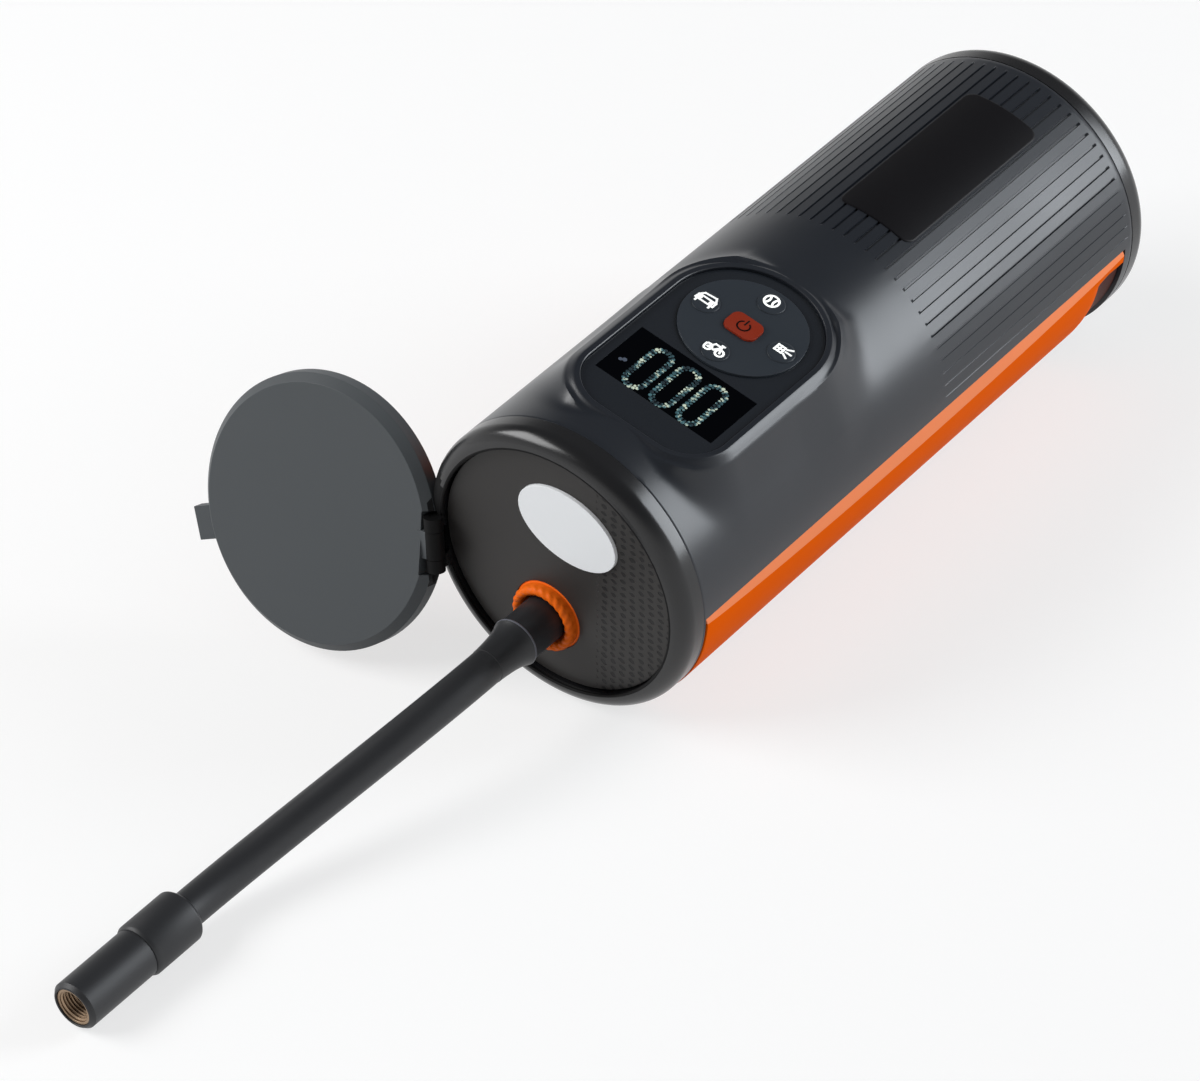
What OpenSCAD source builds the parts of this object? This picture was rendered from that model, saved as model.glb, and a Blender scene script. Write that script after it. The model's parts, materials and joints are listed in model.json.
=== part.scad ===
// Hand-held cordless tyre inflator: a round battery body with a lamp, an air outlet and a
// lid at its front end, a display and keys on a raised pod, and a short screw-on hose.
// Each piece is drawn along +Y from the front face at y = 0, display side up, and in_place()
// lays the whole tool on its right-hand foot strip. Millimetres.

/* [Body] */
// Outside radius of the round body
body_r = 36; // [34:0.5:40]
// Length from the front rim to the rear face
body_len = 186; // [180:1:200]
// Wall of the tubular shell
shell_wall = 3; // [2.4:0.1:3.6]
// Length of the front bezel ring
bezel_len = 7; // [6:0.5:9]
// Length of the rear cap
cap_len = 6.6; // [5.6:0.2:9]
// Rounding of the front rim
front_round = 4.1; // [3:0.1:4.2]
// Rounding of the rear rim
rear_round = 3.9; // [2:0.1:5]
// Distance from the front rim to the middle of the foot strip, where the origin is
front_to_origin = 93; // [85:1:100]
// How far the tool is tipped to its right as it lies
tip_angle = 20; // [16:1:24]

/* [Front face] */
// Width of the front rim
rim_w = 4.3; // [4.1:0.1:5]
// Depth of the face plate below the rim
face_depth = 1.9; // [1.2:0.1:3]
// Thickness of the face plate
face_t = 2.5; // [2:0.1:3]
// Half width of the oval lamp lens
lens_a = 13.5; // [11:0.5:14]
// Half height of the oval lamp lens
lens_b = 9.3; // [8:0.1:9.6]
// Height of the lens centre above the tool axis
lens_z = 13.7; // [12.5:0.1:14.5]
// Depth of the lamp reflector
reflector_len = 7.4; // [6:0.2:8]
// Depth of the air outlet below the tool axis
outlet_z = 15; // [14:0.5:17]
// Outside radius of the outlet ring
ring_r = 8.8; // [8:0.1:9]
// Hole through the outlet ring
ring_hole_r = 6.2; // [6:0.1:6.6]

/* [Pod] */
// Half width of the pod's flat face
pod_half = 20; // [18:0.5:21]
// Near end of the pod's flat face
pod_near = 16; // [14:0.5:18]
// Centre of the round key plate, and of the pod's round far end
pad_y = 60; // [58:0.5:62]
// Height of the pod's rim above the tool axis
pod_top = 36; // [35:0.2:38]
// Rounding of the pod's near corners
pod_corner = 12; // [8:0.5:13]
// Bevel round the pod's rim
pod_bevel = 2.2; // [1:0.1:3]
// Radius of the round key plate
pad_r = 15; // [14.6:0.1:15.4]
// Distance of the four outer keys from the plate's centre
key_pitch = 10.6; // [9.8:0.1:11]
// Radius of an outer key
key_r = 3.2; // [2.6:0.1:3.4]
// How far a key can be pressed
key_travel = 0.7; // [0.4:0.05:0.7]
// Half width of the display window
window_half = 16; // [14:0.5:16.2]
// Length of the display window along the tool
window_len = 17; // [15:0.5:18]

/* [Grip, plate and rails] */
// Start of the fluted grip
grip_start = 101; // [98:1:106]
// Angle between two flutes
flute_pitch = 5; // [4:0.2:8]
// Width of a groove
flute_w = 0.6; // [0.4:0.05:0.9]
// Depth of the groove between flutes
flute_depth = 0.6; // [0.3:0.05:0.8]
// Width of the bare name plate
badge_w = 20.4; // [18:0.2:24]
// Length of the bare name plate
badge_len = 54; // [50:1:58]
// Upper edge of the side rails, counted from the display
rail_from = 78; // [76:1:82]
// Lower edge of the side rails, counted from the display
rail_to = 142; // [136:1:144]
// Thickness of the side rails
rail_t = 1.5; // [1.2:0.1:1.8]
// How far the foot strips stand out of the shell
foot_stand = 0.6; // [0.4:0.1:1]
// Width of a foot strip
foot_w = 16; // [12:1:18]

/* [Lid] */
// How far the lid laps over the opening
lid_lap = 0.8; // [0.4:0.1:1.2]
// Thickness of the lid
lid_t = 6.5; // [5.5:0.1:7]
// How far the lid is swung open
lid_open = 176; // [150:1:179]
// Place of the hinge round the rim, counted from the display
hinge_at = 112; // [108:1:116]
// Lean of the hinge line, which tips the open lid back
hinge_lean = 9.5; // [6:0.5:12]
// Radius of the hinge pin
pin_r = 1; // [0.8:0.05:1.2]

/* [Hose and chuck] */
// Outside radius of the hose
hose_r = 4.25; // [4:0.05:4.5]
// Radius of the air way
air_r = 1.8; // [1.5:0.1:2]
// Radius of the chuck's collar, which lies on the table
collar_r = 6.4; // [6:0.1:6.6]
// Length of the chuck's collar
collar_len = 14.8; // [14:0.2:18]
// Radius of the chuck's screw sleeve
sleeve_r = 5.8; // [5.4:0.1:5.9]
// Length of the chuck's screw sleeve
sleeve_len = 20.4; // [20:0.1:24]
// Radius of the thread that takes the valve stem
valve_r = 3.85; // [3.8:0.01:3.95]
// Length of the valve thread
valve_len = 9; // [8:0.5:10]

/* [Pump] */
// Distance of the piston's plane from the front rim
rod_y = 38; // [37:0.5:39]
// Height of the crankshaft above the tool axis
crank_z = 10; // [9.5:0.1:10.5]
// Throw of the crank
throw = 5; // [4:0.5:5.5]
// Length of the connecting rod between centres
rod_len = 20; // [20:0.2:21]
// Bore radius of the cylinder
bore_r = 9; // [8:0.1:9.2]
// Teeth of the motor pinion
pinion_teeth = 9; // [9:1:9]
// Teeth of the crank gear
gear_teeth = 36; // [36:1:36]
// Size of a tooth: pitch diameter over number of teeth
tooth_module = 0.8; // [0.76:0.01:0.8]
// Radius of the motor
motor_r = 14; // [12:0.5:14]
// Radius of one battery cell
cell_r = 9.2; // [9:0.05:9.3]
// Length of one battery cell
cell_len = 65; // [65:0.5:66]

/* [Hidden] */
$fn = 96;

small = 0.05;                 // running clearance of pins, keys and sliding pieces
snug = 0.1;                   // gap round pieces that are set into a seat
eps = 0.5;                    // overshoot of a cut past the face that it opens

inner_r = body_r - shell_wall;
opening_r = body_r - rim_w;
lid_r = opening_r + lid_lap;
shell_end = body_len - cap_len;
rest_h = body_r + foot_stand;
face_back = face_depth + face_t;
spigot_end = bezel_len + 6;

// Pod levels, from the rim down
cover_top = pod_top - 0.8;
cover_t = 1.8;
cover_low = cover_top - cover_t;
seat_inset = 1.3;
ledge_inset = 3.2;
plate_top = cover_top + 0.5;
key_top = plate_top + 0.3;
flange_t = 0.9;
flange_top = cover_low - 0.3;
board_t = 1.6;
switch_h = 2.2;
stem_gap = 0.2;
switch_top = flange_top - flange_t - 0.9 - key_travel - stem_gap;
board_top = switch_top - switch_h;
board_low = board_top - board_t;
window_y = pad_y - 24.9;      // centre of the display window

// Pump places along the tool
wheel_t = 4;
wheel_y = rod_y + 4.5;
frame_y = wheel_y + wheel_t + 3.5;
frame_t = 5;
gear_y = frame_y + frame_t + 2;
gear_t = 5;
mount_y = gear_y + gear_t + 2.5;
mount_t = 3;
motor_y = mount_y + mount_t;
gear_gap = tooth_module * (pinion_teeth + gear_teeth) / 2;
motor_z = crank_z - gear_gap;
wrist_z = crank_z - throw - rod_len;
crown_z = wrist_z - 7;        // face of the piston, at the end of its stroke
head_z = crown_z - 0.3;
block_half = 11.5;
cylinder_top = wrist_z + 11;
head_h = 6.7;
port_z = head_z - 3.2;        // centre line of the air tube
block_end = 20;

// Battery places
holder_t = 6;
pocket = 3;
cell_y = shell_end - cell_len - 5.2;
motor_len = cell_y - 5.7 - motor_y;
holder_rear_y = cell_y + cell_len - pocket;
cell_ring = (cell_r + 0.15) / sin(60);
boss_at = body_r - 6.8;
boss_r = 4;
boss_start = shell_end - 16;
screw_r = 1.2;
cap_disc = 2.8;
pillar_end = body_len - cap_disc;

// Lid and hinge, in the frame whose x runs from the rim to the tool axis
hinge_r = lid_r - 0.5;
hinge_y = -(lid_t / 2) + 0.75;
lid_gap = 0.4;
lid_bevel = 1.9;
barrel_r = 2.2;
barrel_half = 3.4;
lug_len = 3.2;
notch_half = barrel_half + lug_len + 0.9;
tab_turn = 17;

ferrule_len = 10.5;
stub_len = 9.5;

// Centre line of the hose as it lies, from the ferrule down to the chuck on the table
hose_start = [-outlet_z * sin(tip_angle), -front_to_origin - stub_len - ferrule_len,
    rest_h - outlet_z * cos(tip_angle)];
hose_end = [-23.2, -198, collar_r];
hose_steps = 18;
hose_route = [for (i = [0:hose_steps])
    let (t = i / hose_steps, s = t * t * (3 - 2 * t), way = hose_end - hose_start)
        hose_start + [way.x * s, way.y * t, way.z * s]];
hose_sides = 12;
chuck_at = hose_route[len(hose_route) - 1];

// ---- helpers ----

module in_place() translate([0, -front_to_origin, rest_h]) rotate([0, tip_angle, 0]) children();

module at_chuck() translate([chuck_at.x, chuck_at.y, collar_r]) rotate([90, 0, 0]) children();

module y_cyl(r, y0, y1) translate([0, y0, 0]) rotate([-90, 0, 0]) cylinder(r = r, h = y1 - y0);

module y_tube(ro, ri, y0, y1) difference() {
    y_cyl(ro, y0, y1);
    y_cyl(ri, y0 - eps, y1 + eps);
}

// Turned piece on the tool axis from [radius, y] outlines
module y_turned() rotate([-90, 0, 0]) rotate_extrude() children();

// Curved slab between two radii and two angles, counted from the display towards +X
module arc_slab(r0, r1, a0, a1, y0, y1)
    rotate([-90, 0, 0]) rotate([0, 0, a0 - 90])
        rotate_extrude(angle = a1 - a0) translate([r0, y0]) square([r1 - r0, y1 - y0]);

function oval(a, b, n = 48) = [for (i = [0:n - 1]) [a * cos(i * 360 / n), b * sin(i * 360 / n)]];

// Oval prism facing forwards round the lamp's centre
module lamp_oval(grow, y0, y1)
    translate([0, y1, lens_z]) rotate([90, 0, 0])
        linear_extrude(y1 - y0) polygon(oval(lens_a + grow, lens_b + grow));

module pod_outline(inset = 0) {
    half = pod_half - inset;
    corner = pod_corner - inset;
    corner_x = pod_half - pod_corner;
    corner_y = pod_near + pod_corner;
    translate([0, pad_y]) circle(half);
    for (side = [-1, 1]) translate([side * corner_x, corner_y]) circle(corner);
    translate([-half, corner_y]) square([2 * half, pad_y - corner_y]);
    translate([-corner_x, pod_near + inset]) square([2 * corner_x, pad_y - pod_near - inset]);
}

module pod_slab(inset, z0, z1) translate([0, 0, z0]) linear_extrude(z1 - z0) pod_outline(inset);

module rounded(w, l, r) {
    for (x = [-1, 1], y = [-1, 1]) translate([x * (w / 2 - r), y * (l / 2 - r)]) circle(r);
    square([w - 2 * r, l], center = true);
    square([w, l - 2 * r], center = true);
}

// Gear outline: straight-sided teeth, cut thin enough to run free
module gear_2d(teeth, bore) {
    pitch_r = tooth_module * teeth / 2;
    tip_r = pitch_r + 0.75 * tooth_module;
    root_r = pitch_r - 0.95 * tooth_module;
    step = 360 / teeth;
    difference() {
        polygon([for (i = [0:teeth - 1], k = [[-0.30, root_r], [-0.10, tip_r], [0.10, tip_r],
            [0.30, root_r]]) k[1] * [cos((i + k[0]) * step), sin((i + k[0]) * step)]]);
        circle(bore);
    }
}

module screw(head_r, head_h, shank_r, len) {
    cylinder(r = head_r, h = head_h);
    translate([0, 0, head_h]) cylinder(r = shank_r, h = len);
}

// Frame of the lid hinge: z is the hinge line, x points to the tool axis when nothing leans
module at_hinge() rotate([0, 90 - hinge_at, 0])
    translate([-hinge_r, hinge_y, 0]) rotate([-hinge_lean, 0, 0]) children();
module from_hinge() rotate([hinge_lean, 0, 0]) translate([hinge_r, -hinge_y, 0]) children();

// ---- shell and skin ----

module pod_boss() hull() {
    pod_slab(0, pod_top - 0.1, pod_top);
    pod_slab(-pod_bevel, pod_top - pod_bevel - 0.1, pod_top - pod_bevel);
    pod_slab(-pod_bevel - 4, pod_top - 9, pod_top - 8.9);
}

flute_count = floor(2 * (rail_from - 4) / flute_pitch);

module flutes()
    for (i = [0:flute_count])
        rotate([0, (i - flute_count / 2) * flute_pitch, 0])
            translate([-flute_w / 2, grip_start, body_r - flute_depth])
                cube([flute_w, shell_end - grip_start - 1.6, 2]);

module badge_slab(grow, r0, r1) intersection() {
    y_tube(r1, r0, grip_start, shell_end);
    translate([0, grip_start + 9.5 + badge_len / 2, 0]) linear_extrude(body_r + 1)
        rounded(badge_w + 2 * grow, badge_len + 2 * grow, 3.5);
}

module foot_bar(grow, top)
    for (side = [-1, 1]) rotate([0, side * (180 - tip_angle), 0])
        translate([-foot_w / 2 - grow, 16 - grow, body_r - 1.6])
            cube([foot_w + 2 * grow, body_len - 32 + 2 * grow, top - body_r + 1.6]);

module cap_holes(r, y0, y1)
    for (a = [60, 180, 300]) rotate([0, a, 0]) translate([0, 0, boss_at]) y_cyl(r, y0, y1);

module main_shell() color([0.26, 0.27, 0.29]) in_place() {
    difference() {
        union() {
            y_cyl(body_r, bezel_len, shell_end);
            pod_boss();
        }
        y_cyl(inner_r, bezel_len - eps, shell_end + eps);
        pod_slab(ledge_inset, 0, pod_top);
        pod_slab(seat_inset, cover_low, pod_top + 1);
        flutes();
        badge_slab(snug, body_r - 1.2, body_r + 1);
        for (side = [0, 1]) mirror([side, 0, 0])
            arc_slab(body_r - rail_t + 0.1, body_r + 1, rail_from - 0.3, rail_to + 0.3,
                7.7, shell_end - 3.1);
        foot_bar(snug, body_r + 1);
    }
    intersection() {
        difference() {
            cap_holes(boss_r, boss_start, shell_end);
            cap_holes(screw_r + small, boss_start - eps, shell_end + eps);
        }
        y_cyl(inner_r + 0.5, boss_start, shell_end);
    }
}

module front_bezel() color([0.17, 0.17, 0.18]) in_place() {
    difference() {
        y_turned() {
            translate([opening_r, front_round]) square([body_r - opening_r, bezel_len - front_round]);
            intersection() {
                translate([body_r - front_round, front_round]) circle(front_round);
                translate([opening_r, 0]) square([front_round + 1, front_round]);
            }
            translate([opening_r - 3.2, face_back]) square([3.2, bezel_len - face_back]);
            translate([inner_r - snug - 2.5, bezel_len]) square([2.5, spigot_end - bezel_len]);
        }
        // relief for the edge of the opened lid
        for (turn = [0, 4]) at_hinge() rotate([0, 0, turn - lid_open]) from_hinge()
            rotate([90, 0, 0]) cylinder(r = lid_r + 0.4, h = lid_t + lid_gap + 0.4);
        at_hinge() cylinder(r = barrel_r + 0.4, h = 2 * (barrel_half + 0.1), center = true);
    }
    for (side = [-1, 1]) at_hinge() difference() {
        translate([0, 0, side * (barrel_half + lug_len / 2 + 0.1)]) union() {
            cylinder(r = barrel_r, h = lug_len, center = true);
            translate([-1.7, 0, -lug_len / 2]) cube([2.3, 1 - hinge_y + 2.2, lug_len]);
        }
        cylinder(r = pin_r, h = 40, center = true);
    }
}

module rear_cap() color([0.17, 0.17, 0.18]) in_place() difference() {
    y_turned() {
        translate([0, shell_end]) square([body_r, cap_len - rear_round]);
        translate([0, shell_end]) square([body_r - rear_round, cap_len]);
        intersection() {
            translate([body_r - rear_round, body_len - rear_round]) circle(rear_round);
            translate([0, shell_end]) square([body_r, cap_len]);
        }
        // lip that centres the cap in the shell
        translate([inner_r - 1.5, shell_end - 1.9]) square([1.4, 1.9]);
    }
    for (a = [60, 180, 300]) rotate([0, a, 0]) translate([0, 0, boss_at])
        y_cyl(boss_r + 0.3, shell_end - 3, shell_end);
    difference() {
        y_cyl(inner_r - 2, shell_end - eps, pillar_end);
        cap_holes(boss_r, shell_end - 1, pillar_end + 1);
    }
    cap_holes(screw_r + small, shell_end - 1, body_len + 1);
    cap_holes(2.5, body_len - 1.8, body_len + 1);
    translate([0, body_len - cap_disc / 2, 0]) rotate([90, 0, 0])
        linear_extrude(cap_disc + 4, center = true) rounded(9.3, 3.5, 1.7);
}

module rear_cap_screws() color("silver") in_place()
    for (a = [60, 180, 300]) rotate([0, a, 0]) translate([0, body_len - 0.3, boss_at])
        rotate([90, 0, 0]) difference() {
            screw(2.4, 1.5, screw_r, body_len - boss_start - 4);
            translate([0, 0, -eps]) cylinder(r = 1.1, h = 1.4, $fn = 6);
        }

module side_rail() difference() {
    arc_slab(body_r - rail_t + 0.15, body_r + 0.2, rail_from, rail_to, 8, shell_end - 3.4);
    // flat facet along the upper edge
    rotate([0, rail_from + 0.5, 0]) translate([-3, 0, body_r - 0.5]) cube([13, body_len, 3]);
}

module side_rail_right() color([0.86, 0.38, 0.05]) in_place() side_rail();
module side_rail_left() color([0.86, 0.38, 0.05]) in_place() mirror([1, 0, 0]) side_rail();

module name_plate() color([0.1, 0.1, 0.11]) in_place()
    badge_slab(0, body_r - 1.15, body_r - 0.1);

module foot_strips() color([0.12, 0.12, 0.12]) in_place() difference() {
    foot_bar(0, rest_h);
    y_cyl(body_r - 1.55, 0, body_len);
}

// ---- front face ----

module face_plate() color([0.24, 0.23, 0.23]) in_place() difference() {
    y_cyl(opening_r - 0.5, face_depth, face_back);
    lamp_oval(snug, face_depth - eps, face_back + eps);
    translate([0, 0, -outlet_z]) y_cyl(ring_r + small, face_depth - eps, face_back + eps);
}

module lamp_lens() color([0.88, 0.89, 0.91]) in_place() {
    lamp_oval(0, face_depth - 0.7, face_back);
    lamp_oval(1.3, face_back, face_back + 1.2);
}

module lamp_reflector() color("gainsboro") in_place() difference() {
    lamp_oval(1.3, face_back + 1.2, face_back + 1.2 + reflector_len);
    translate([0, face_back + 1.2 - 0.01, lens_z]) rotate([-90, 0, 0])
        linear_extrude(reflector_len + 0.02, scale = 0.6) polygon(oval(lens_a, lens_b));
}

lamp_back = face_back + 1.2 + reflector_len;

module lamp_board() color("seagreen") in_place() lamp_oval(1.3, lamp_back, lamp_back + board_t);

module lamp_leds() color("khaki") in_place()
    for (x = [-5, 0, 5]) translate([x - 1.7, lamp_back - 0.8, lens_z - 1.7]) cube([3.4, 0.8, 3.4]);

module outlet_ring() color([0.92, 0.42, 0.08]) in_place() translate([0, 0, -outlet_z])
    y_turned() {
        translate([ring_hole_r, 0.5]) square([ring_r - ring_hole_r, face_back - 0.5]);
        translate([(ring_hole_r + ring_r) / 2, 0.5]) circle((ring_r - ring_hole_r) / 2);
    }

module outlet_block() color("dimgray") in_place() difference() {
    union() {
        translate([0, 0, -outlet_z]) y_cyl(8, face_back, 9);
        translate([-8, 8, port_z - 3]) cube([16, block_end - 8, 9 - outlet_z / 2 - port_z + 1]);
        translate([0, 0, port_z]) y_cyl(2 - small, block_end, block_end + 3);
    }
    translate([0, 0, -outlet_z]) y_cyl(4.6, face_back - eps, 14.5);
    translate([0, 0, -outlet_z]) y_cyl(air_r, 14, 18.5);
    translate([0, 17, port_z]) cylinder(r = 1.4, h = -outlet_z - port_z);
    translate([0, 0, port_z]) y_cyl(1.2, 16, block_end + 4);
}

module pressure_sensor() color("silver") in_place()
    translate([0, 0, -outlet_z + 3]) {
        y_cyl(4, block_end, block_end + 3.5);
        for (x = [-1.5, 0, 1.5]) translate([x, 0, 0]) y_cyl(0.3, block_end + 3.5, block_end + 5.5);
    }

module air_tube() color("whitesmoke") in_place() translate([0, 0, port_z])
    y_tube(3.2, 2, block_end + 0.2, rod_y - block_half - 0.2);

// ---- hose and chuck ----

module hose_stub() color([0.13, 0.13, 0.14]) in_place() translate([0, 0, -outlet_z])
    difference() {
        union() {
            y_cyl(5.6, -stub_len, 1);
            y_cyl(4.5, 1, 14);
        }
        y_cyl(air_r, -stub_len - eps, 14 + eps);
    }

module hose_ferrule() color([0.15, 0.15, 0.16]) in_place() translate([0, -stub_len, -outlet_z])
    rotate([90, 0, 0]) rotate_extrude() polygon([[air_r, 0], [5.9, 0], [6, 0.5], [5.6, 1.6],
        [5.1, 3.6], [4.7, 6.5], [hose_r + 0.1, ferrule_len], [air_r, ferrule_len]]);

function unit(v) = v / norm(v);
function tangent(i, last) =
    unit(hose_route[min(i + 1, last)] - hose_route[max(i - 1, 0)]);

module air_hose() color([0.2, 0.2, 0.21]) {
    last = len(hose_route) - 1;
    rings = [for (i = [0:last])
        let (t = i == 0 || i == last ? [0, -1, 0] : tangent(i, last),
             u = unit(cross(t, [0, 0, 1])), v = cross(u, t))
        for (k = [0:hose_sides - 1])
            hose_route[i] + hose_r * (cos(k * 360 / hose_sides) * u + sin(k * 360 / hose_sides) * v)];
    n = hose_sides;
    sides = [for (i = [0:last - 1], k = [0:n - 1], half = [0, 1])
        let (a = i * n + k, b = i * n + (k + 1) % n)
            half == 0 ? [a, b, b + n] : [a, b + n, a + n]];
    ends = [[for (k = [n - 1:-1:0]) k], [for (k = [0:n - 1]) last * n + k]];
    polyhedron(points = rings, faces = concat(sides, ends), convexity = 4);
}

module chuck_collar() color([0.14, 0.14, 0.15]) at_chuck() difference() {
    rotate_extrude() polygon([[air_r, 0], [collar_r - 1, 0], [collar_r, 1],
        [collar_r, collar_len - 1], [collar_r - 0.5, collar_len], [air_r, collar_len]]);
    translate([0, 0, collar_len - 4]) cylinder(r = 3, h = 5);
}

insert_start = collar_len - 4;
chuck_end = collar_len + sleeve_len;
insert_r = 4.5;
valve_seat = chuck_end - 0.4 - valve_len;
washer_r = valve_r - 0.4;
washer_t = 1.6;

module chuck_sleeve() color([0.16, 0.16, 0.17]) at_chuck() rotate_extrude()
    polygon([[insert_r + small, collar_len], [sleeve_r, collar_len], [sleeve_r, chuck_end - 1],
        [sleeve_r - 0.8, chuck_end], [insert_r + small, chuck_end]]);

module chuck_insert() color([0.72, 0.56, 0.3]) at_chuck() difference() {
    union() {
        translate([0, 0, insert_start]) cylinder(r = 3 - small, h = 4);
        translate([0, 0, collar_len]) cylinder(r = insert_r, h = sleeve_len - 0.4);
    }
    translate([0, 0, insert_start - eps]) cylinder(r = 1.5, h = sleeve_len + 5);
    translate([0, 0, valve_seat - 2]) cylinder(r = washer_r + small, h = 3);
    translate([0, 0, valve_seat]) cylinder(r = valve_r, h = valve_len + 3);
}

module chuck_washer() color([0.1, 0.1, 0.1]) at_chuck()
    translate([0, 0, valve_seat - 2]) difference() {
        cylinder(r = washer_r, h = washer_t);
        translate([0, 0, -eps]) cylinder(r = 2.2, h = 3);
    }

module chuck_depressor() color([0.75, 0.6, 0.35]) at_chuck()
    translate([0, 0, valve_seat - 2]) {
        cylinder(r = 0.8, h = 1.9);
        translate([-2.1, -0.6, 0]) cube([4.2, 1.2, 1]);
    }

// ---- pod ----

keys = [[0, key_pitch], [0, -key_pitch], [-key_pitch, 0], [key_pitch, 0]];
power_w = 8.4;
power_l = 6.4;
post_places = [[-10, pod_near + 6.6], [10, pod_near + 6.6], [-14.1, pad_y - 13.2], [14.1, pad_y - 13.2]];

module pod_cover() color([0.06, 0.06, 0.07]) in_place() {
    difference() {
        pod_slab(seat_inset + snug, cover_low, cover_top);
        translate([0, pad_y, cover_low - eps]) cylinder(r = pad_r + snug, h = cover_t + 1);
        translate([-window_half - snug, window_y - window_len / 2 - snug, cover_low - eps])
            cube([2 * (window_half + snug), window_len + 2 * snug, cover_t + 1]);
    }
    for (p = post_places) translate([p.x, p.y, board_top])
        cylinder(r = 1.9, h = cover_low - board_top);
}

module display_window() color([0.03, 0.04, 0.09]) in_place()
    translate([-window_half, window_y - window_len / 2, cover_low])
        cube([2 * window_half, window_len, cover_t]);

module key_plate() color([0.16, 0.16, 0.18]) in_place() difference() {
    union() {
        translate([0, pad_y, cover_low]) cylinder(r = pad_r, h = plate_top - cover_low);
        // lip that holds the plate under the cover
        translate([0, pad_y, cover_low - 0.9]) difference() {
            cylinder(r = pad_r + 1.5, h = 0.9);
            translate([0, 0, -eps]) cylinder(r = pad_r - 0.2, h = 2);
            translate([-20, -35.3, -eps]) cube([40, 20, 2]);
        }
    }
    for (k = keys) translate([k.x, pad_y + k.y, cover_low - eps])
        cylinder(r = key_r + small, h = 4);
    translate([0, pad_y, cover_low - eps]) linear_extrude(4)
        rounded(power_w + 2 * small, power_l + 2 * small, 2 + small);
}

module key_at(i) in_place() translate([keys[i].x, pad_y + keys[i].y, 0]) {
    translate([0, 0, flange_top]) cylinder(r = key_r, h = key_top - flange_top);
    translate([0, 0, flange_top - flange_t]) cylinder(r = key_r + 0.8, h = flange_t);
    translate([0, 0, switch_top + key_travel + stem_gap])
        cylinder(r = 1.3, h = flange_top - flange_t - switch_top - key_travel - stem_gap);
}

module key_front() color([0.18, 0.18, 0.2]) key_at(1);
module key_rear() color([0.18, 0.18, 0.2]) key_at(0);
module key_left() color([0.18, 0.18, 0.2]) key_at(2);
module key_right() color([0.18, 0.18, 0.2]) key_at(3);

module power_button() color([0.62, 0.2, 0.06]) in_place() translate([0, pad_y, 0]) {
    translate([0, 0, flange_top]) linear_extrude(key_top + 0.2 - flange_top)
        rounded(power_w, power_l, 2);
    translate([0, 0, flange_top - flange_t]) linear_extrude(flange_t)
        rounded(power_w + 1.2, power_l + 1.2, 2.4);
    translate([0, 0, switch_top + key_travel + stem_gap])
        cylinder(r = 1.6, h = flange_top - flange_t - switch_top - key_travel - stem_gap);
}

module key_switches() color("dimgray") in_place()
    for (k = concat([[0, 0]], keys)) translate([k.x - 2.6, pad_y + k.y - 2.6, board_top])
        cube([5.2, 5.2, switch_h]);

module display_module() color([0.08, 0.08, 0.1]) in_place()
    translate([-window_half - 0.4, window_y - window_len / 2 - 0.8, board_top])
        cube([2 * window_half + 0.8, window_len + 1.6, cover_low - board_top]);

module control_board() color("seagreen") in_place() difference() {
    pod_slab(ledge_inset + 0.3, board_low, board_top);
    translate([-pod_half, pad_y + 15.3, board_low - eps]) cube([2 * pod_half, 20, board_t + 1]);
}

// ---- battery and charging ----

module on_cells() for (a = [0, 120, 240]) rotate([0, a, 0]) translate([0, 0, -cell_ring]) children();

module battery_cells() color([0.2, 0.45, 0.7]) in_place() on_cells() {
    y_cyl(cell_r, cell_y, cell_y + cell_len - 0.6);
    y_cyl(3, cell_y + cell_len - 0.6, cell_y + cell_len);
}

module cell_holder_front() color([0.15, 0.15, 0.16]) in_place() difference() {
    y_cyl(inner_r - snug, cell_y - holder_t + pocket, cell_y + pocket);
    on_cells() y_cyl(cell_r + snug, cell_y, cell_y + pocket + eps);
    on_cells() y_cyl(3.4, cell_y - holder_t, cell_y + pocket);
}

module cell_holder_rear() color([0.15, 0.15, 0.16]) in_place() difference() {
    y_cyl(inner_r - snug, holder_rear_y, holder_rear_y + holder_t);
    on_cells() y_cyl(cell_r + snug, holder_rear_y - eps, holder_rear_y + pocket);
    on_cells() y_cyl(3.4, holder_rear_y, holder_rear_y + holder_t + eps);
    cap_holes(boss_r + 0.3, holder_rear_y - eps, holder_rear_y + holder_t + eps);
}

// Strip across two cells with a contact on each, its plate at y0 and its contacts up to y1
module link(turn, y0, y1) rotate([0, turn, 0]) {
    half = cell_ring * sin(60);
    translate([-half - 3, y0, cell_ring / 2 - 3]) cube([2 * half + 6, 0.3, 6]);
    for (side = [-1, 1]) translate([side * half, 0, cell_ring / 2])
        y_cyl(2.6, min(y0, y1), max(y0, y1));
}

module cell_links() color("silver") in_place() {
    link(0, holder_rear_y + holder_t, cell_y + cell_len);
    link(120, cell_y - holder_t + pocket - 0.3, cell_y);
}

module charge_board() color("seagreen") in_place()
    y_tube(inner_r - 11, 5, holder_rear_y + holder_t + 0.5, holder_rear_y + holder_t + 0.5 + board_t);

module charge_socket() color("silver") in_place() {
    socket_y = holder_rear_y + holder_t + 0.5 + board_t;
    translate([0, body_len - 0.2, 0]) rotate([90, 0, 0]) difference() {
        linear_extrude(body_len - 0.2 - socket_y) rounded(9, 3.2, 1.55);
        translate([0, 0, -eps]) linear_extrude(6) rounded(8.3, 2.5, 1.2);
    }
}

// ---- motor and pump ----

module motor() color("silver") in_place() translate([0, 0, motor_z]) difference() {
    union() {
        y_cyl(motor_r, motor_y, motor_y + motor_len);
        y_cyl(5, motor_y + motor_len, motor_y + motor_len + 1.8);
        y_cyl(4, motor_y - 2.4, motor_y);
    }
    y_cyl(1.15 + small, motor_y - 3, motor_y + motor_len + 3);
}

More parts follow.
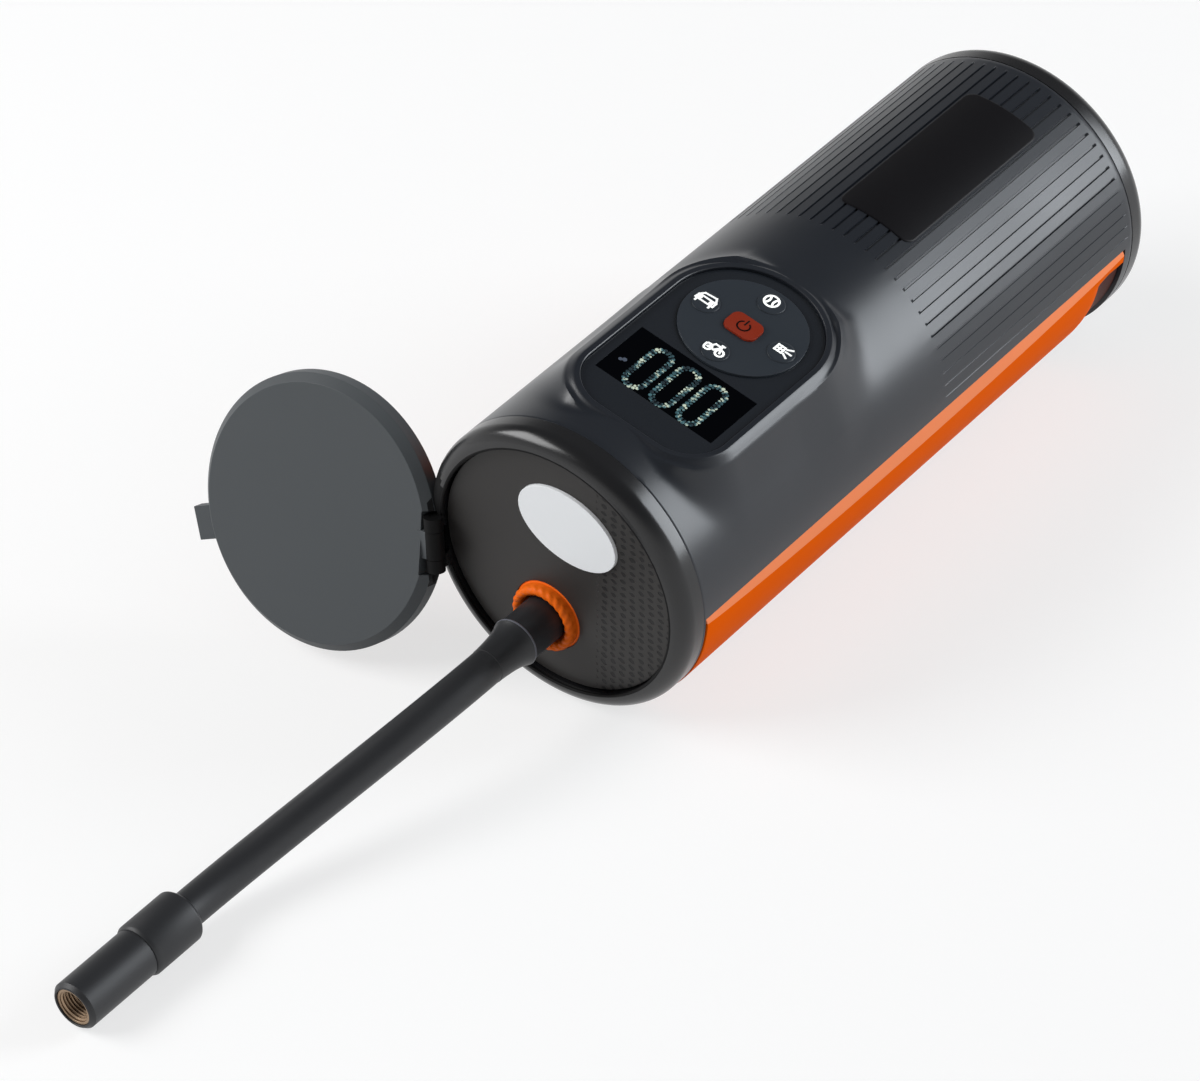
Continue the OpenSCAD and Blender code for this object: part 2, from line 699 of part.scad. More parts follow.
module motor_shaft() color("gray") in_place() translate([0, 0, motor_z])
    y_cyl(1.15, gear_y - 0.8, motor_y + motor_len + 1.3);

module pinion() color("goldenrod") in_place() translate([0, gear_y + gear_t, motor_z])
    rotate([90, 0, 0]) rotate([0, 0, 90 + 180 / pinion_teeth])
        linear_extrude(gear_t) gear_2d(pinion_teeth, 1.15);

module drive_gear() color("whitesmoke") in_place() translate([0, gear_y + gear_t - 0.3, crank_z])
    rotate([90, 0, 0]) rotate([0, 0, -90]) linear_extrude(gear_t - 0.6) gear_2d(gear_teeth, 2);

module crank_shaft() color("gray") in_place() translate([0, 0, crank_z])
    y_cyl(2, wheel_y, mount_y + mount_t - 0.2);

module crank_wheel() color("darkgray") in_place() translate([0, 0, crank_z]) {
    y_tube(9.5, 2, wheel_y, wheel_y + wheel_t);
    translate([0, 0, -throw]) y_cyl(2, wheel_y - 1.5, wheel_y);
}

module con_rod() color("lightsteelblue") in_place() difference() {
    union() {
        translate([0, 0, crank_z - throw]) y_cyl(4.5, rod_y - 2.5, rod_y + 2.5);
        translate([0, 0, wrist_z]) y_cyl(3.2, rod_y - 2.3, rod_y + 2.3);
        translate([-1.8, rod_y - 2, wrist_z]) cube([3.6, 4, rod_len]);
    }
    translate([0, 0, wrist_z]) y_cyl(1.6 + small, rod_y - 4, rod_y + 4);
    translate([0, 0, crank_z - throw]) y_cyl(2 + small, rod_y - 4, rod_y + 4);
}

module wrist_pin() color("gray") in_place() translate([0, 0, wrist_z])
    y_cyl(1.6, rod_y - bore_r + 1.5, rod_y + bore_r - 1.5);

module piston() color("gainsboro") in_place() translate([0, rod_y, 0]) difference() {
    translate([0, 0, crown_z]) cylinder(r = bore_r - small, h = 11);
    difference() {
        translate([0, 0, crown_z + 3.2]) cylinder(r = bore_r - 1.8, h = 10);
        for (side = [0, 1]) mirror([0, side, 0]) translate([0, 0, wrist_z]) y_cyl(3, 2.7, bore_r);
    }
    translate([0, 0, wrist_z]) y_cyl(1.6 + small, -bore_r - 1, bore_r + 1);
    translate([0, 0, crown_z + 1.2]) difference() {
        cylinder(r = bore_r + 1, h = 1.3);
        translate([0, 0, -eps]) cylinder(r = bore_r - 0.9, h = 3);
    }
}

module piston_ring() color("dimgray") in_place() translate([0, rod_y, crown_z + 1.25])
    difference() {
        cylinder(r = bore_r - 0.02, h = 1.2);
        translate([0, 0, -eps]) cylinder(r = bore_r - 0.85, h = 3);
    }

screw_pitch = block_half - 2.2;
module head_places() for (x = [-1, 1], y = [-1, 1])
    translate([x * screw_pitch, rod_y + y * screw_pitch, 0]) children();

module cylinder_block() {
    translate([0, rod_y, head_z]) cylinder(r = bore_r + 2.2, h = cylinder_top - head_z);
    translate([-block_half, rod_y - block_half, head_z]) cube([2 * block_half, 2 * block_half, 5]);
    for (i = [0:2]) translate([0, rod_y, head_z + 7 + 2.6 * i]) cylinder(r = bore_r + 3, h = 1.2);
    translate([-13, rod_y + block_half - 2, head_z]) cube([26, frame_y - rod_y - block_half + 2, 14]);
}

module cylinder_sleeve() difference() {
    cylinder_block();
    translate([0, rod_y, head_z - eps]) cylinder(r = bore_r, h = 40);
    head_places() translate([0, 0, head_z - eps]) cylinder(r = 1.25, h = 6);
}

module cylinder_head() color("darkgray") in_place() difference() {
    union() {
        translate([-block_half, rod_y - block_half, head_z - head_h])
            cube([2 * block_half, 2 * block_half, head_h]);
        translate([0, 0, port_z]) y_cyl(2 - small, rod_y - block_half - 3, rod_y - block_half);
    }
    head_places() translate([0, 0, head_z - head_h - eps]) cylinder(r = 1.25, h = head_h + 1);
    head_places() translate([0, 0, head_z - head_h - eps]) cylinder(r = 2.2, h = 2.1);
    translate([0, rod_y, port_z]) cylinder(r = 1.4, h = 5);
    translate([0, 0, port_z]) y_cyl(1.2, rod_y - block_half - 4, rod_y);
}

module head_screws() color("silver") in_place() head_places()
    translate([0, 0, head_z - head_h]) screw(2.1, 1.6, 1.2, head_h + 2.4);

pillar_places = [[-25, -8], [25, -8], [0, -28.2]];

module pump_frame() color([0.22, 0.22, 0.23]) in_place() difference() {
    union() {
        y_cyl(inner_r - snug, frame_y, frame_y + frame_t);
        y_cyl(inner_r - snug, mount_y, mount_y + mount_t);
        for (p = pillar_places) translate([p.x, 0, p.y]) y_cyl(3, frame_y, mount_y + mount_t);
    }
    translate([-50, frame_y - 1, board_low - 1.2]) cube([100, 60, 40]);
    translate([0, 0, crank_z]) y_cyl(4.5, frame_y - 1, motor_y + 1);
    translate([0, 0, motor_z]) y_cyl(4.8, gear_y, motor_y + 1);
}

module crank_bearings() color("silver") in_place() translate([0, 0, crank_z]) {
    y_tube(4.5 - 0.02, 2 + small, frame_y + 0.5, frame_y + frame_t - 0.5);
    y_tube(4.5 - 0.02, 2 + small, mount_y, mount_y + mount_t);
}

// ---- lid ----

module lid_closed() {
    difference() {
        rotate([90, 0, 0]) translate([0, 0, lid_gap]) rotate_extrude()
            polygon([[0, 0], [lid_r - lid_bevel, 0], [lid_r, 2], [lid_r, lid_t - 1.2],
                [lid_r - 1.2, lid_t], [0, lid_t]]);
        // room for the bezel's two hinge lugs
        translate([-hinge_r - 4.2, -2 * lid_t, -notch_half])
            cube([6.7, 3 * lid_t, 2 * notch_half]);
    }
    rotate([0, tab_turn, 0]) translate([lid_r - 1, -lid_gap - 4.6, -4]) cube([5, 3, 8]);
}

module lid() color([0.32, 0.33, 0.34]) in_place() at_hinge() difference() {
    union() {
        rotate([0, 0, -lid_open]) {
            from_hinge() lid_closed();
            translate([0, -1.9, -barrel_half]) cube([3.4, 3.8, 2 * barrel_half]);
        }
        cylinder(r = barrel_r, h = 2 * barrel_half, center = true);
    }
    cylinder(r = pin_r + small, h = 40, center = true);
}

module lid_pin() color("silver") in_place() at_hinge()
    cylinder(r = pin_r - 0.005, h = 2 * (barrel_half + lug_len), center = true);

main_shell();
front_bezel();
face_plate();
lamp_lens();
lamp_reflector();
lamp_board();
lamp_leds();
outlet_ring();
outlet_block();
hose_stub();
hose_ferrule();
air_hose();
chuck_collar();
chuck_sleeve();
chuck_insert();
chuck_washer();
chuck_depressor();
side_rail_right();
side_rail_left();
name_plate();
foot_strips();
pod_cover();
display_window();
key_plate();
power_button();
key_front();
key_rear();
key_left();
key_right();
key_switches();
display_module();
control_board();
rear_cap();
rear_cap_screws();
charge_socket();
charge_board();
battery_cells();
cell_holder_front();
cell_holder_rear();
cell_links();
motor();
motor_shaft();
pinion();
crank_shaft();
drive_gear();
crank_wheel();
con_rod();
wrist_pin();
piston();
piston_ring();
color("gray") in_place() cylinder_sleeve();  // cylinder
cylinder_head();
head_screws();
pump_frame();
crank_bearings();
air_tube();
pressure_sensor();
lid();
lid_pin();
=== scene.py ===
"""A hand-held cordless tyre inflator on a pale table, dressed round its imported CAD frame.

Pieces are drawn in millimetres in the tool's own frame: +Y from the front rim to the rear cap,
the display facing +Z. LAY turns that frame into the row's frame, where the tool lies rolled onto
its right-hand foot strip.
"""

import json
import math

import bmesh
import bpy
import numpy as np
from mathutils import Matrix, Vector
from mathutils.geometry import delaunay_2d_cdt

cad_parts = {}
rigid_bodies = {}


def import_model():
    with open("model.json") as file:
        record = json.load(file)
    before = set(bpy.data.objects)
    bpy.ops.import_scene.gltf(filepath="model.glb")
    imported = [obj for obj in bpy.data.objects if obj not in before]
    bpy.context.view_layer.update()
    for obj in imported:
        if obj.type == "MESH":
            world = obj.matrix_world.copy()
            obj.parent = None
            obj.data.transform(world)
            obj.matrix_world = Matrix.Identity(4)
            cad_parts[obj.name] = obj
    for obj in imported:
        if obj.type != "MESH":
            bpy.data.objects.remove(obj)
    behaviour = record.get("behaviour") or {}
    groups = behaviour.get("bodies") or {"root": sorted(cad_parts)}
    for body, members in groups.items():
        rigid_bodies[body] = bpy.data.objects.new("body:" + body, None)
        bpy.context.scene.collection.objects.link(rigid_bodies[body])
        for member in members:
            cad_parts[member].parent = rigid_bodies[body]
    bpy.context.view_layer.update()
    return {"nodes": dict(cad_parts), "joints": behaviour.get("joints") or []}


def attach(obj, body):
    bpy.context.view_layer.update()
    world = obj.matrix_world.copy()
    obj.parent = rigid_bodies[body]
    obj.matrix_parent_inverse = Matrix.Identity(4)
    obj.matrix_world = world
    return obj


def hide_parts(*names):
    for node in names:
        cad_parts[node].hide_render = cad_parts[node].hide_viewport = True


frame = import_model()

MM = 0.001
ROLL = math.radians(20)
LAY = Matrix.Translation((0, -0.093, 0.0366)) @ Matrix.Rotation(ROLL, 4, "Y")
BODY_R = 36.0
OUTLET_Z = 15.0  # how far the outlet's centre lies below the axis
SHELL_START, GRIP_START, SHELL_END = 7.0, 99.0, 179.4


# ---- camera ----


def add_object(name, data):
    obj = bpy.data.objects.new(name, data)
    bpy.context.collection.objects.link(obj)
    return obj


def set_camera():
    data = bpy.data.cameras.new("studio_camera")
    data.lens, data.sensor_width = 147.26, 36.0
    data.clip_start, data.clip_end = 0.05, 20
    camera = add_object("studio_camera", data)
    right = Vector((0.7879, 0.6053, -0.1133)).normalized()
    up = Vector((-0.2779, 0.5138, 0.8117))
    back = right.cross(up).normalized()
    up = back.cross(right)
    turn = Matrix((right, up, back)).transposed().to_4x4()
    camera.matrix_world = Matrix.Translation((0.5986, -0.7386, 0.6593)) @ turn
    bpy.context.scene.camera = camera


# ---- materials ----


def srgb(r, g, b):
    """A screen colour of 0 to 255 as the linear colour that a shader socket takes."""
    screen = [c / 255 for c in (r, g, b)]
    return [((c + 0.055) / 1.055) ** 2.4 if c > 10 / 255 else c / 12.92 for c in screen] + [1]


def new_group(name, inputs, outputs):
    tree = bpy.data.node_groups.new(name, "ShaderNodeTree")
    for label, kind, value in inputs:
        socket = tree.interface.new_socket(label, in_out="INPUT", socket_type=kind)
        socket.default_value = value
    for label, kind in outputs:
        tree.interface.new_socket(label, in_out="OUTPUT", socket_type=kind)
    return tree, tree.nodes.new("NodeGroupInput"), tree.nodes.new("NodeGroupOutput")


def set_inputs(node, values):
    for label, value in values.items():
        node.inputs[label].default_value = value


def new_node(nodes, kind, values):
    """A node with plain values in the inputs that are named."""
    node = nodes.new(kind)
    set_inputs(node, values)
    return node


def math_node(tree, operation, a, b=None, clamp=False):
    """The result of a Math node that takes numbers or other nodes' outputs."""
    node = tree.nodes.new("ShaderNodeMath")
    node.operation, node.use_clamp = operation, clamp
    for socket, value in zip(node.inputs, (a, b)):
        if isinstance(value, (int, float)):
            socket.default_value = value
        elif value is not None:
            tree.links.new(value, socket)
    return node.outputs[0]


def moulded_grain():
    """Fine spark-eroded grain of moulded plastic, with slow changes of tone over the surface."""
    tree, given, result = new_group(
        "moulded_grain",
        [
            ("Colour", "NodeSocketColor", (0.1, 0.1, 0.1, 1)),
            ("Grain Size", "NodeSocketFloat", 0.00035),
            ("Mottle", "NodeSocketFloat", 0.08),
        ],
        [("Colour", "NodeSocketColor"), ("Height", "NodeSocketFloat"), ("Wear", "NodeSocketFloat")],
    )
    nodes, links = tree.nodes, tree.links
    place = nodes.new("ShaderNodeTexCoord")
    per_metre = math_node(tree, "DIVIDE", 1, given.outputs["Grain Size"])
    grain = new_node(nodes, "ShaderNodeTexNoise", {"Detail": 2})
    links.new(place.outputs["Object"], grain.inputs["Vector"])
    links.new(per_metre, grain.inputs["Scale"])
    tone = new_node(nodes, "ShaderNodeTexNoise", {"Scale": 28, "Detail": 3})
    links.new(place.outputs["Object"], tone.inputs["Vector"])
    spread = new_node(nodes, "ShaderNodeMapRange", {"From Min": 0.3, "From Max": 0.7})
    links.new(tone.outputs[0], spread.inputs["Value"])
    amount = math_node(tree, "MULTIPLY", spread.outputs[0], given.outputs["Mottle"])
    lighter = nodes.new("ShaderNodeMix")
    lighter.data_type = "RGBA"
    lighter.inputs[7].default_value = (1, 1, 1, 1)
    links.new(amount, lighter.inputs[0])
    links.new(given.outputs["Colour"], lighter.inputs[6])
    links.new(lighter.outputs[2], result.inputs["Colour"])
    links.new(grain.outputs[0], result.inputs["Height"])
    links.new(spread.outputs[0], result.inputs["Wear"])
    return tree


GRAIN = moulded_grain()


def new_material(name):
    material = bpy.data.materials.new(name)
    material.use_nodes = True
    tree = material.node_tree
    return material, tree.nodes, tree.links, tree.nodes["Principled BSDF"]


def grained(name, colour, grain, mottle, roughness, wear):
    """A material whose colour and gloss follow the moulded grain, and the grain's group node."""
    material, nodes, links, shader = new_material(name)
    group = nodes.new("ShaderNodeGroup")
    group.node_tree = GRAIN
    set_inputs(group, {"Colour": srgb(*colour), "Grain Size": grain, "Mottle": mottle})
    links.new(group.outputs["Colour"], shader.inputs["Base Color"])
    limits = {"To Min": roughness - wear, "To Max": roughness + wear}
    gloss = new_node(nodes, "ShaderNodeMapRange", limits)
    links.new(group.outputs["Wear"], gloss.inputs["Value"])
    links.new(gloss.outputs[0], shader.inputs["Roughness"])
    return material, group


def moulded(name, colour, roughness=0.45, grain=0.00035, depth=0.00001, mottle=0.004, specular=0.5):
    """Moulded plastic or rubber: colour, gloss and a fine grain of the given depth in metres."""
    material, group = grained(name, colour, grain, mottle, roughness, 0.03)
    nodes, links = material.node_tree.nodes, material.node_tree.links
    shader = nodes["Principled BSDF"]
    if depth:
        bump = new_node(nodes, "ShaderNodeBump", {"Distance": depth, "Strength": 1})
        links.new(group.outputs["Height"], bump.inputs["Height"])
        links.new(bump.outputs[0], shader.inputs["Normal"])
    shader.inputs["Specular IOR Level"].default_value = specular
    return material


def glowing(name, colour, strength):
    material, _, _, shader = new_material(name)
    set_inputs(shader, {"Base Color": srgb(*colour), "Roughness": 0.4,
                        "Emission Color": srgb(*colour), "Emission Strength": strength})
    return material


def turned_metal(name, colour, roughness=0.3):
    """Turned or drawn metal, with fine tool marks round the Y axis and a few dull patches."""
    material, _ = grained(name, colour, 0.0012, 0.08, roughness, 0.08)
    nodes, links = material.node_tree.nodes, material.node_tree.links
    shader = nodes["Principled BSDF"]
    place = nodes.new("ShaderNodeTexCoord")
    marks = new_node(nodes, "ShaderNodeTexWave", {"Scale": 900, "Distortion": 1.5})
    marks.bands_direction = "Y"
    bump = new_node(nodes, "ShaderNodeBump", {"Distance": 0.000008})
    links.new(place.outputs["Object"], marks.inputs["Vector"])
    links.new(marks.outputs["Fac"], bump.inputs["Height"])
    links.new(bump.outputs[0], shader.inputs["Normal"])
    shader.inputs["Metallic"].default_value = 1
    return material


def stippled_face():
    """The front plate: satin plastic, with rows of small moulded pits beside the lamp, each pit
    darkened with painted shade.
    """
    material = moulded("stippled_face", (47, 45, 44), 0.44, depth=0.000004, specular=0.3)
    tree = material.node_tree
    nodes, links = tree.nodes, tree.links
    shader = nodes["Principled BSDF"]
    column_pitch, row_pitch, slant = 0.0026, 0.0019, 0.207
    first_column = {"From Min": 0.0112, "From Max": 0.0122}
    place = nodes.new("ShaderNodeTexCoord")
    upright = nodes.new("ShaderNodeMapping")
    set_inputs(upright, {"Location": (0.0125, 0, -0.0344), "Rotation": (0, -ROLL, 0)})
    links.new(place.outputs["Object"], upright.inputs["Vector"])
    wander = new_node(nodes, "ShaderNodeTexNoise", {"Scale": 260})
    links.new(upright.outputs[0], wander.inputs["Vector"])
    drift = nodes.new("ShaderNodeVectorMath")
    drift.operation = "MULTIPLY_ADD"
    drift.inputs[1].default_value = (0.0011, 0.0011, 0.0011)
    links.new(wander.outputs["Color"], drift.inputs[0])
    links.new(upright.outputs[0], drift.inputs[2])
    axes = nodes.new("ShaderNodeSeparateXYZ")
    links.new(drift.outputs[0], axes.inputs[0])
    x, z = axes.outputs[0], axes.outputs[2]

    def ripple(value, pitch):
        return math_node(tree, "SINE", math_node(tree, "MULTIPLY", value, 2 * math.pi / pitch))

    slanted = math_node(tree, "MULTIPLY_ADD", z, slant)
    links.new(x, slanted.node.inputs[2])
    both = math_node(tree, "ADD", ripple(slanted, column_pitch), ripple(z, row_pitch))
    size = new_node(nodes, "ShaderNodeTexNoise", {"Scale": 420})
    links.new(upright.outputs[0], size.inputs["Vector"])
    uneven = math_node(tree, "MULTIPLY_ADD", size.outputs[0], 1.6)
    links.new(both, uneven.node.inputs[2])
    pit = new_node(nodes, "ShaderNodeMapRange", {"From Min": 1.3, "From Max": 1.65})
    pit.interpolation_type = "SMOOTHSTEP"
    links.new(uneven, pit.inputs["Value"])
    beside = new_node(nodes, "ShaderNodeMapRange", first_column)
    beside.interpolation_type = "SMOOTHSTEP"
    links.new(slanted, beside.inputs["Value"])
    mask = math_node(tree, "MULTIPLY", pit.outputs[0], beside.outputs[0], True)
    # the pits' colour is mixed towards near black: painted shade in the pits
    pit_painted_shade = nodes.new("ShaderNodeMix")
    pit_painted_shade.data_type = "RGBA"
    pit_painted_shade.inputs[7].default_value = srgb(12, 12, 13)
    links.new(math_node(tree, "MULTIPLY", mask, 0.9), pit_painted_shade.inputs[0])
    links.new(shader.inputs["Base Color"].links[0].from_socket, pit_painted_shade.inputs[6])
    links.new(pit_painted_shade.outputs[2], shader.inputs["Base Color"])
    dent = new_node(nodes, "ShaderNodeBump", {"Distance": 0.00025})
    dent.invert = True
    links.new(mask, dent.inputs["Height"])
    links.new(shader.inputs["Normal"].links[0].from_socket, dent.inputs["Normal"])
    links.new(dent.outputs[0], shader.inputs["Normal"])
    return material


def lit_segments():
    """Glowing display dots, from deep teal to a warm white where they burn brightest."""
    material, nodes, links, shader = new_material("lit_segments")
    place = nodes.new("ShaderNodeTexCoord")
    spots = new_node(nodes, "ShaderNodeTexNoise", {"Scale": 620, "Detail": 1})
    links.new(place.outputs["Object"], spots.inputs["Vector"])
    ramp = nodes.new("ShaderNodeValToRGB")
    ramp.color_ramp.elements[0].position = 0.4
    ramp.color_ramp.elements[0].color = srgb(10, 30, 38)
    ramp.color_ramp.elements[1].position = 0.64
    ramp.color_ramp.elements[1].color = srgb(206, 218, 196)
    middle = ramp.color_ramp.elements.new(0.53)
    middle.color = srgb(66, 110, 118)
    links.new(spots.outputs[0], ramp.inputs[0])
    links.new(ramp.outputs[0], shader.inputs["Emission Color"])
    set_inputs(shader, {"Base Color": srgb(16, 26, 30), "Emission Strength": 0.9,
                        "Roughness": 0.5})
    return material


PAINT = {
    "body": moulded("charcoal_shell", (29, 33, 40), 0.33, depth=0.000004),
    "trim": moulded("dark_rim", (26, 26, 28), 0.23, depth=0.000002),
    "face": stippled_face(),
    "lid": moulded("grey_lid", (80, 84, 87), 0.5, depth=0.000006, specular=0.3),
    # the lid's bevel faces: the lid's grey lightened as a painted highlight
    "lid_bevel_painted_highlight": moulded("lid_bevel_painted_highlight", (126, 129, 131), 0.42, depth=0.000006),
    "orange": moulded("orange_rail", (246, 99, 1), 0.5, depth=0.000008, mottle=0.001,
                      specular=0.01),
    # outlet ring's orange is lifted above the rails' and mottled towards white: painted light and
    # painted highlight streaks on a ring that sits in shade
    "ring": moulded("outlet_orange_painted_light", (255, 112, 8), 0.4, depth=0.00001, mottle=0.012,
                    specular=0.12),
    # lighter copy of the rail's orange for its upper facet: painted highlight
    "rail_facet_painted_highlight": moulded("rail_facet_painted_highlight", (255, 143, 88), 0.42, depth=0.000006, mottle=0.01,
                         specular=0.15),
    # dark red-brown for the rail's sunk rear pocket: painted shade in the recess
    "rail_pocket_painted_shade": moulded("rail_pocket_painted_shade", (64, 18, 4), 0.6, depth=0.00001, mottle=0.03,
                           specular=0.05),
    "badge": moulded("black_plate", (17, 16, 19), 0.42, depth=0, mottle=0.001, specular=0.15),
    # black for the bead ring and the hinge faces, which stands in as painted shade there; also the
    # hidden lid pin
    "seal_and_shade": moulded("black_seal_and_painted_shade", (9, 9, 10), 0.6, depth=0, specular=0.15),
    "cover": moulded("black_cover", (30, 34, 40), 0.24, depth=0, mottle=0.001),
    "glass": moulded("display_glass", (1, 2, 5), 0.12, depth=0, mottle=0, specular=0.08),
    "keys": moulded("satin_keys", (44, 50, 57), 0.34, depth=0, mottle=0.002),
    "power": moulded("red_button", (140, 38, 6), 0.4, depth=0.000006, mottle=0.02, specular=0.25),
    "lens": moulded("frosted_lens", (248, 251, 254), 0.35, depth=0, mottle=0),
    "rubber": moulded("black_rubber", (35, 36, 39), 0.46, depth=0.000008),
    # light grey for the hose neck's flared lip: painted highlight on the black rubber
    "neck_lip_painted_highlight": moulded("neck_lip_painted_highlight", (112, 114, 124), 0.4, depth=0, mottle=0.01),
    "white": moulded("white_plastic", (228, 228, 226), 0.45),
    "holder": moulded("black_nylon", (38, 38, 40), 0.6),
    "board": moulded("green_board", (24, 92, 60), 0.35, grain=0.0009, mottle=0.05),
    "cell": moulded("blue_cell_sleeve", (52, 112, 172), 0.25, grain=0.002, mottle=0.03),
    "alloy": turned_metal("cast_alloy", (172, 174, 176), 0.42),
    "brass": turned_metal("brass", (156, 130, 102), 0.45),
    "steel": turned_metal("steel", (178, 180, 182), 0.28),
    "reflector": turned_metal("bright_reflector", (222, 222, 224), 0.12),
    "segments": lit_segments(),
    "icon": glowing("lit_icon", (226, 228, 226), 0.7),
    "dim": glowing("dim_icon", (70, 78, 92), 0.25),
}

# faint white emission on the unlit frosted lens: a painted glow that lifts it out of its shade
lens_shader = PAINT["lens"].node_tree.nodes["Principled BSDF"]
set_inputs(lens_shader, {"Emission Color": (1, 1, 1, 1), "Emission Strength": 0.08})


# ---- pieces ----


def place_mesh(name, mesh, body, slot, replaces=(), material=None, sharp=35):
    """Smooths a mesh between its sharp edges and makes it a piece of that body and finish."""
    tool = bmesh.new()
    tool.from_mesh(mesh)
    bmesh.ops.remove_doubles(tool, verts=tool.verts, dist=2e-6)
    bmesh.ops.recalc_face_normals(tool, faces=tool.faces)
    for face in tool.faces:
        face.smooth = True
    for edge in tool.edges:
        edge.smooth = len(edge.link_faces) != 2 or edge.calc_face_angle(0) < math.radians(sharp)
    tool.to_mesh(mesh)
    tool.free()
    obj = add_object(name, mesh)
    mesh.materials.clear()
    mesh.materials.append(material or PAINT[slot])
    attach(obj, body)
    if replaces:
        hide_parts(*replaces)
    return obj


def new_mesh(name, points, faces, place=Matrix.Identity(4)):
    """A mesh from points in millimetres."""
    mesh = bpy.data.meshes.new(name)
    mesh.from_pydata([place @ (Vector(p) * MM) for p in points], [], faces)
    return mesh


def build(name, points, faces, body, slot, replaces=(), material=None, place=LAY, sharp=35):
    """A piece from points in millimetres in the tool's frame."""
    mesh = new_mesh(name, points, faces, place)
    return place_mesh(name, mesh, body, slot, replaces, material, sharp)


def dressed(node, body, slot, edge=0.0, material=None):
    """The CAD node's own shape with smooth faces and softened edges."""
    mesh = frame["nodes"][node].data.copy()
    obj = place_mesh("dressed_" + node, mesh, body, slot, [node], material)
    if edge:
        bevel = obj.modifiers.new("softened_edges", "BEVEL")
        bevel.width, bevel.segments, bevel.limit_method = edge * MM, 3, "ANGLE"
        bevel.angle_limit = math.radians(40)
        bevel.harden_normals = True
    return obj


def grid_faces(rows, columns):
    """Faces between the points of an open grid, which are listed row by row."""
    faces = []
    for r in range(rows - 1):
        for c in range(columns - 1):
            a = r * columns + c
            faces.append((a, a + 1, a + columns + 1, a + columns))
    return faces


def ring_faces(steps, rings, n):
    """Faces over that many steps from ring to ring of n points; the last ring meets the first."""
    faces = []
    for i in range(steps):
        j = (i + 1) % rings
        for k in range(n):
            m = (k + 1) % n
            faces.append((i * n + k, i * n + m, j * n + m, j * n + k))
    return faces


def lathe(profile, segments):
    """Points and faces of a closed [radius, y] outline turned about the Y axis."""
    points, n = [], len(profile)
    for i in range(segments):
        a = 2 * math.pi * i / segments
        points += [(r * math.sin(a), y, r * math.cos(a)) for r, y in profile]
    return points, ring_faces(segments, segments, n)


# ---- shell ----

POD_HALF, POD_NEAR, POD_FAR, POD_CORNER, POD_TOP = 20.0, 16.0, 60.0, 12.0, 36.0
BEVEL_WIDTH, BEVEL_DROP, SIDE_SLOPE = 2.2, 2.0, 2.2
SEAT_INSET, SEAT_Z = 1.3, 33.4
FLUTE_PITCH, FLUTES = 5.0, 30
GRIP_EDGE = FLUTE_PITCH * FLUTES / 2
CHANNEL = (77.7, 142.3)  # degrees from the display, where a rail lies in the skin
CHANNEL_R, CHANNEL_ENDS = 34.6, (7.7, 176.3)
# rings of the skin round the pod, by their distance outside its outline
POD_OFFSETS = [-SEAT_INSET, -1.15, -0.5, 0, 0.15, 0.3, 0.5, 0.75, 1.05, 1.4, 1.75, 2.1, 2.5, 2.95,
               3.45, 4.0, 4.6, 5.3, 6.1, 7.0, 8.0]
FRONT_ROWS = [SHELL_START, 7.12, 7.35, 7.66, 7.74, *np.arange(8.9, 93, 1.2), 95.5, GRIP_START]


def outline_distance(x, y):
    """Distance outside the pod's outline, seen from above; negative inside."""
    far = np.hypot(x, y - POD_FAR) - POD_HALF
    qx, qy = np.abs(x) - (POD_HALF - POD_CORNER), POD_NEAR + POD_CORNER - y
    near = (np.hypot(np.maximum(qx, 0), np.maximum(qy, 0))
            + np.minimum(np.maximum(qx, qy), 0) - POD_CORNER)
    return np.where(y > POD_FAR, far, near)


def skin_height(x, y):
    """Height of the shell's skin where the pod's bevelled sides run out into the round body."""
    d = np.maximum(outline_distance(x, y), 0)
    bevel = BEVEL_DROP * (d / BEVEL_WIDTH) ** 1.25
    drop = np.where(d < BEVEL_WIDTH, bevel, BEVEL_DROP + SIDE_SLOPE * (d - BEVEL_WIDTH))
    pod, tube = POD_TOP - drop, np.sqrt(np.maximum(BODY_R**2 - x**2, 0))
    step = np.clip(d / 2.4, 0, 1)
    below_top = np.clip((POD_TOP - tube) / 3, 0, 1)
    beside = np.clip((BODY_R - 1 - np.abs(x)) / 6, 0, 1)
    widest = 9 + 7.5 * np.clip((y - 50) / 14, 0, 1)
    reach = widest * step * step * (3 - 2 * step) * below_top * beside + 1e-6
    blend = np.maximum(0, 1 - np.abs(pod - tube) / reach)
    return np.maximum(pod, tube) + blend**3 * reach / 6


def skin_radius(turn, y):
    """Distance of the skin from the tool's axis at an angle from the display, in degrees."""
    sin, cos = np.sin(np.radians(turn)), np.cos(np.radians(turn))
    low, high = np.full_like(turn, BODY_R - 0.01), np.full_like(turn, 44.0)
    for _ in range(36):
        middle = (low + high) / 2
        outside = middle * cos > skin_height(middle * sin, y)
        low, high = np.where(outside, low, middle), np.where(outside, middle, high)
    radius = np.where(np.abs(turn) < 75, (low + high) / 2, BODY_R)
    lower = np.abs((turn + 180) % 360 - 180)
    in_channel = ((lower > CHANNEL[0]) & (lower < CHANNEL[1])
                  & (y > CHANNEL_ENDS[0]) & (y < CHANNEL_ENDS[1]))
    return np.where(in_channel, CHANNEL_R, radius)


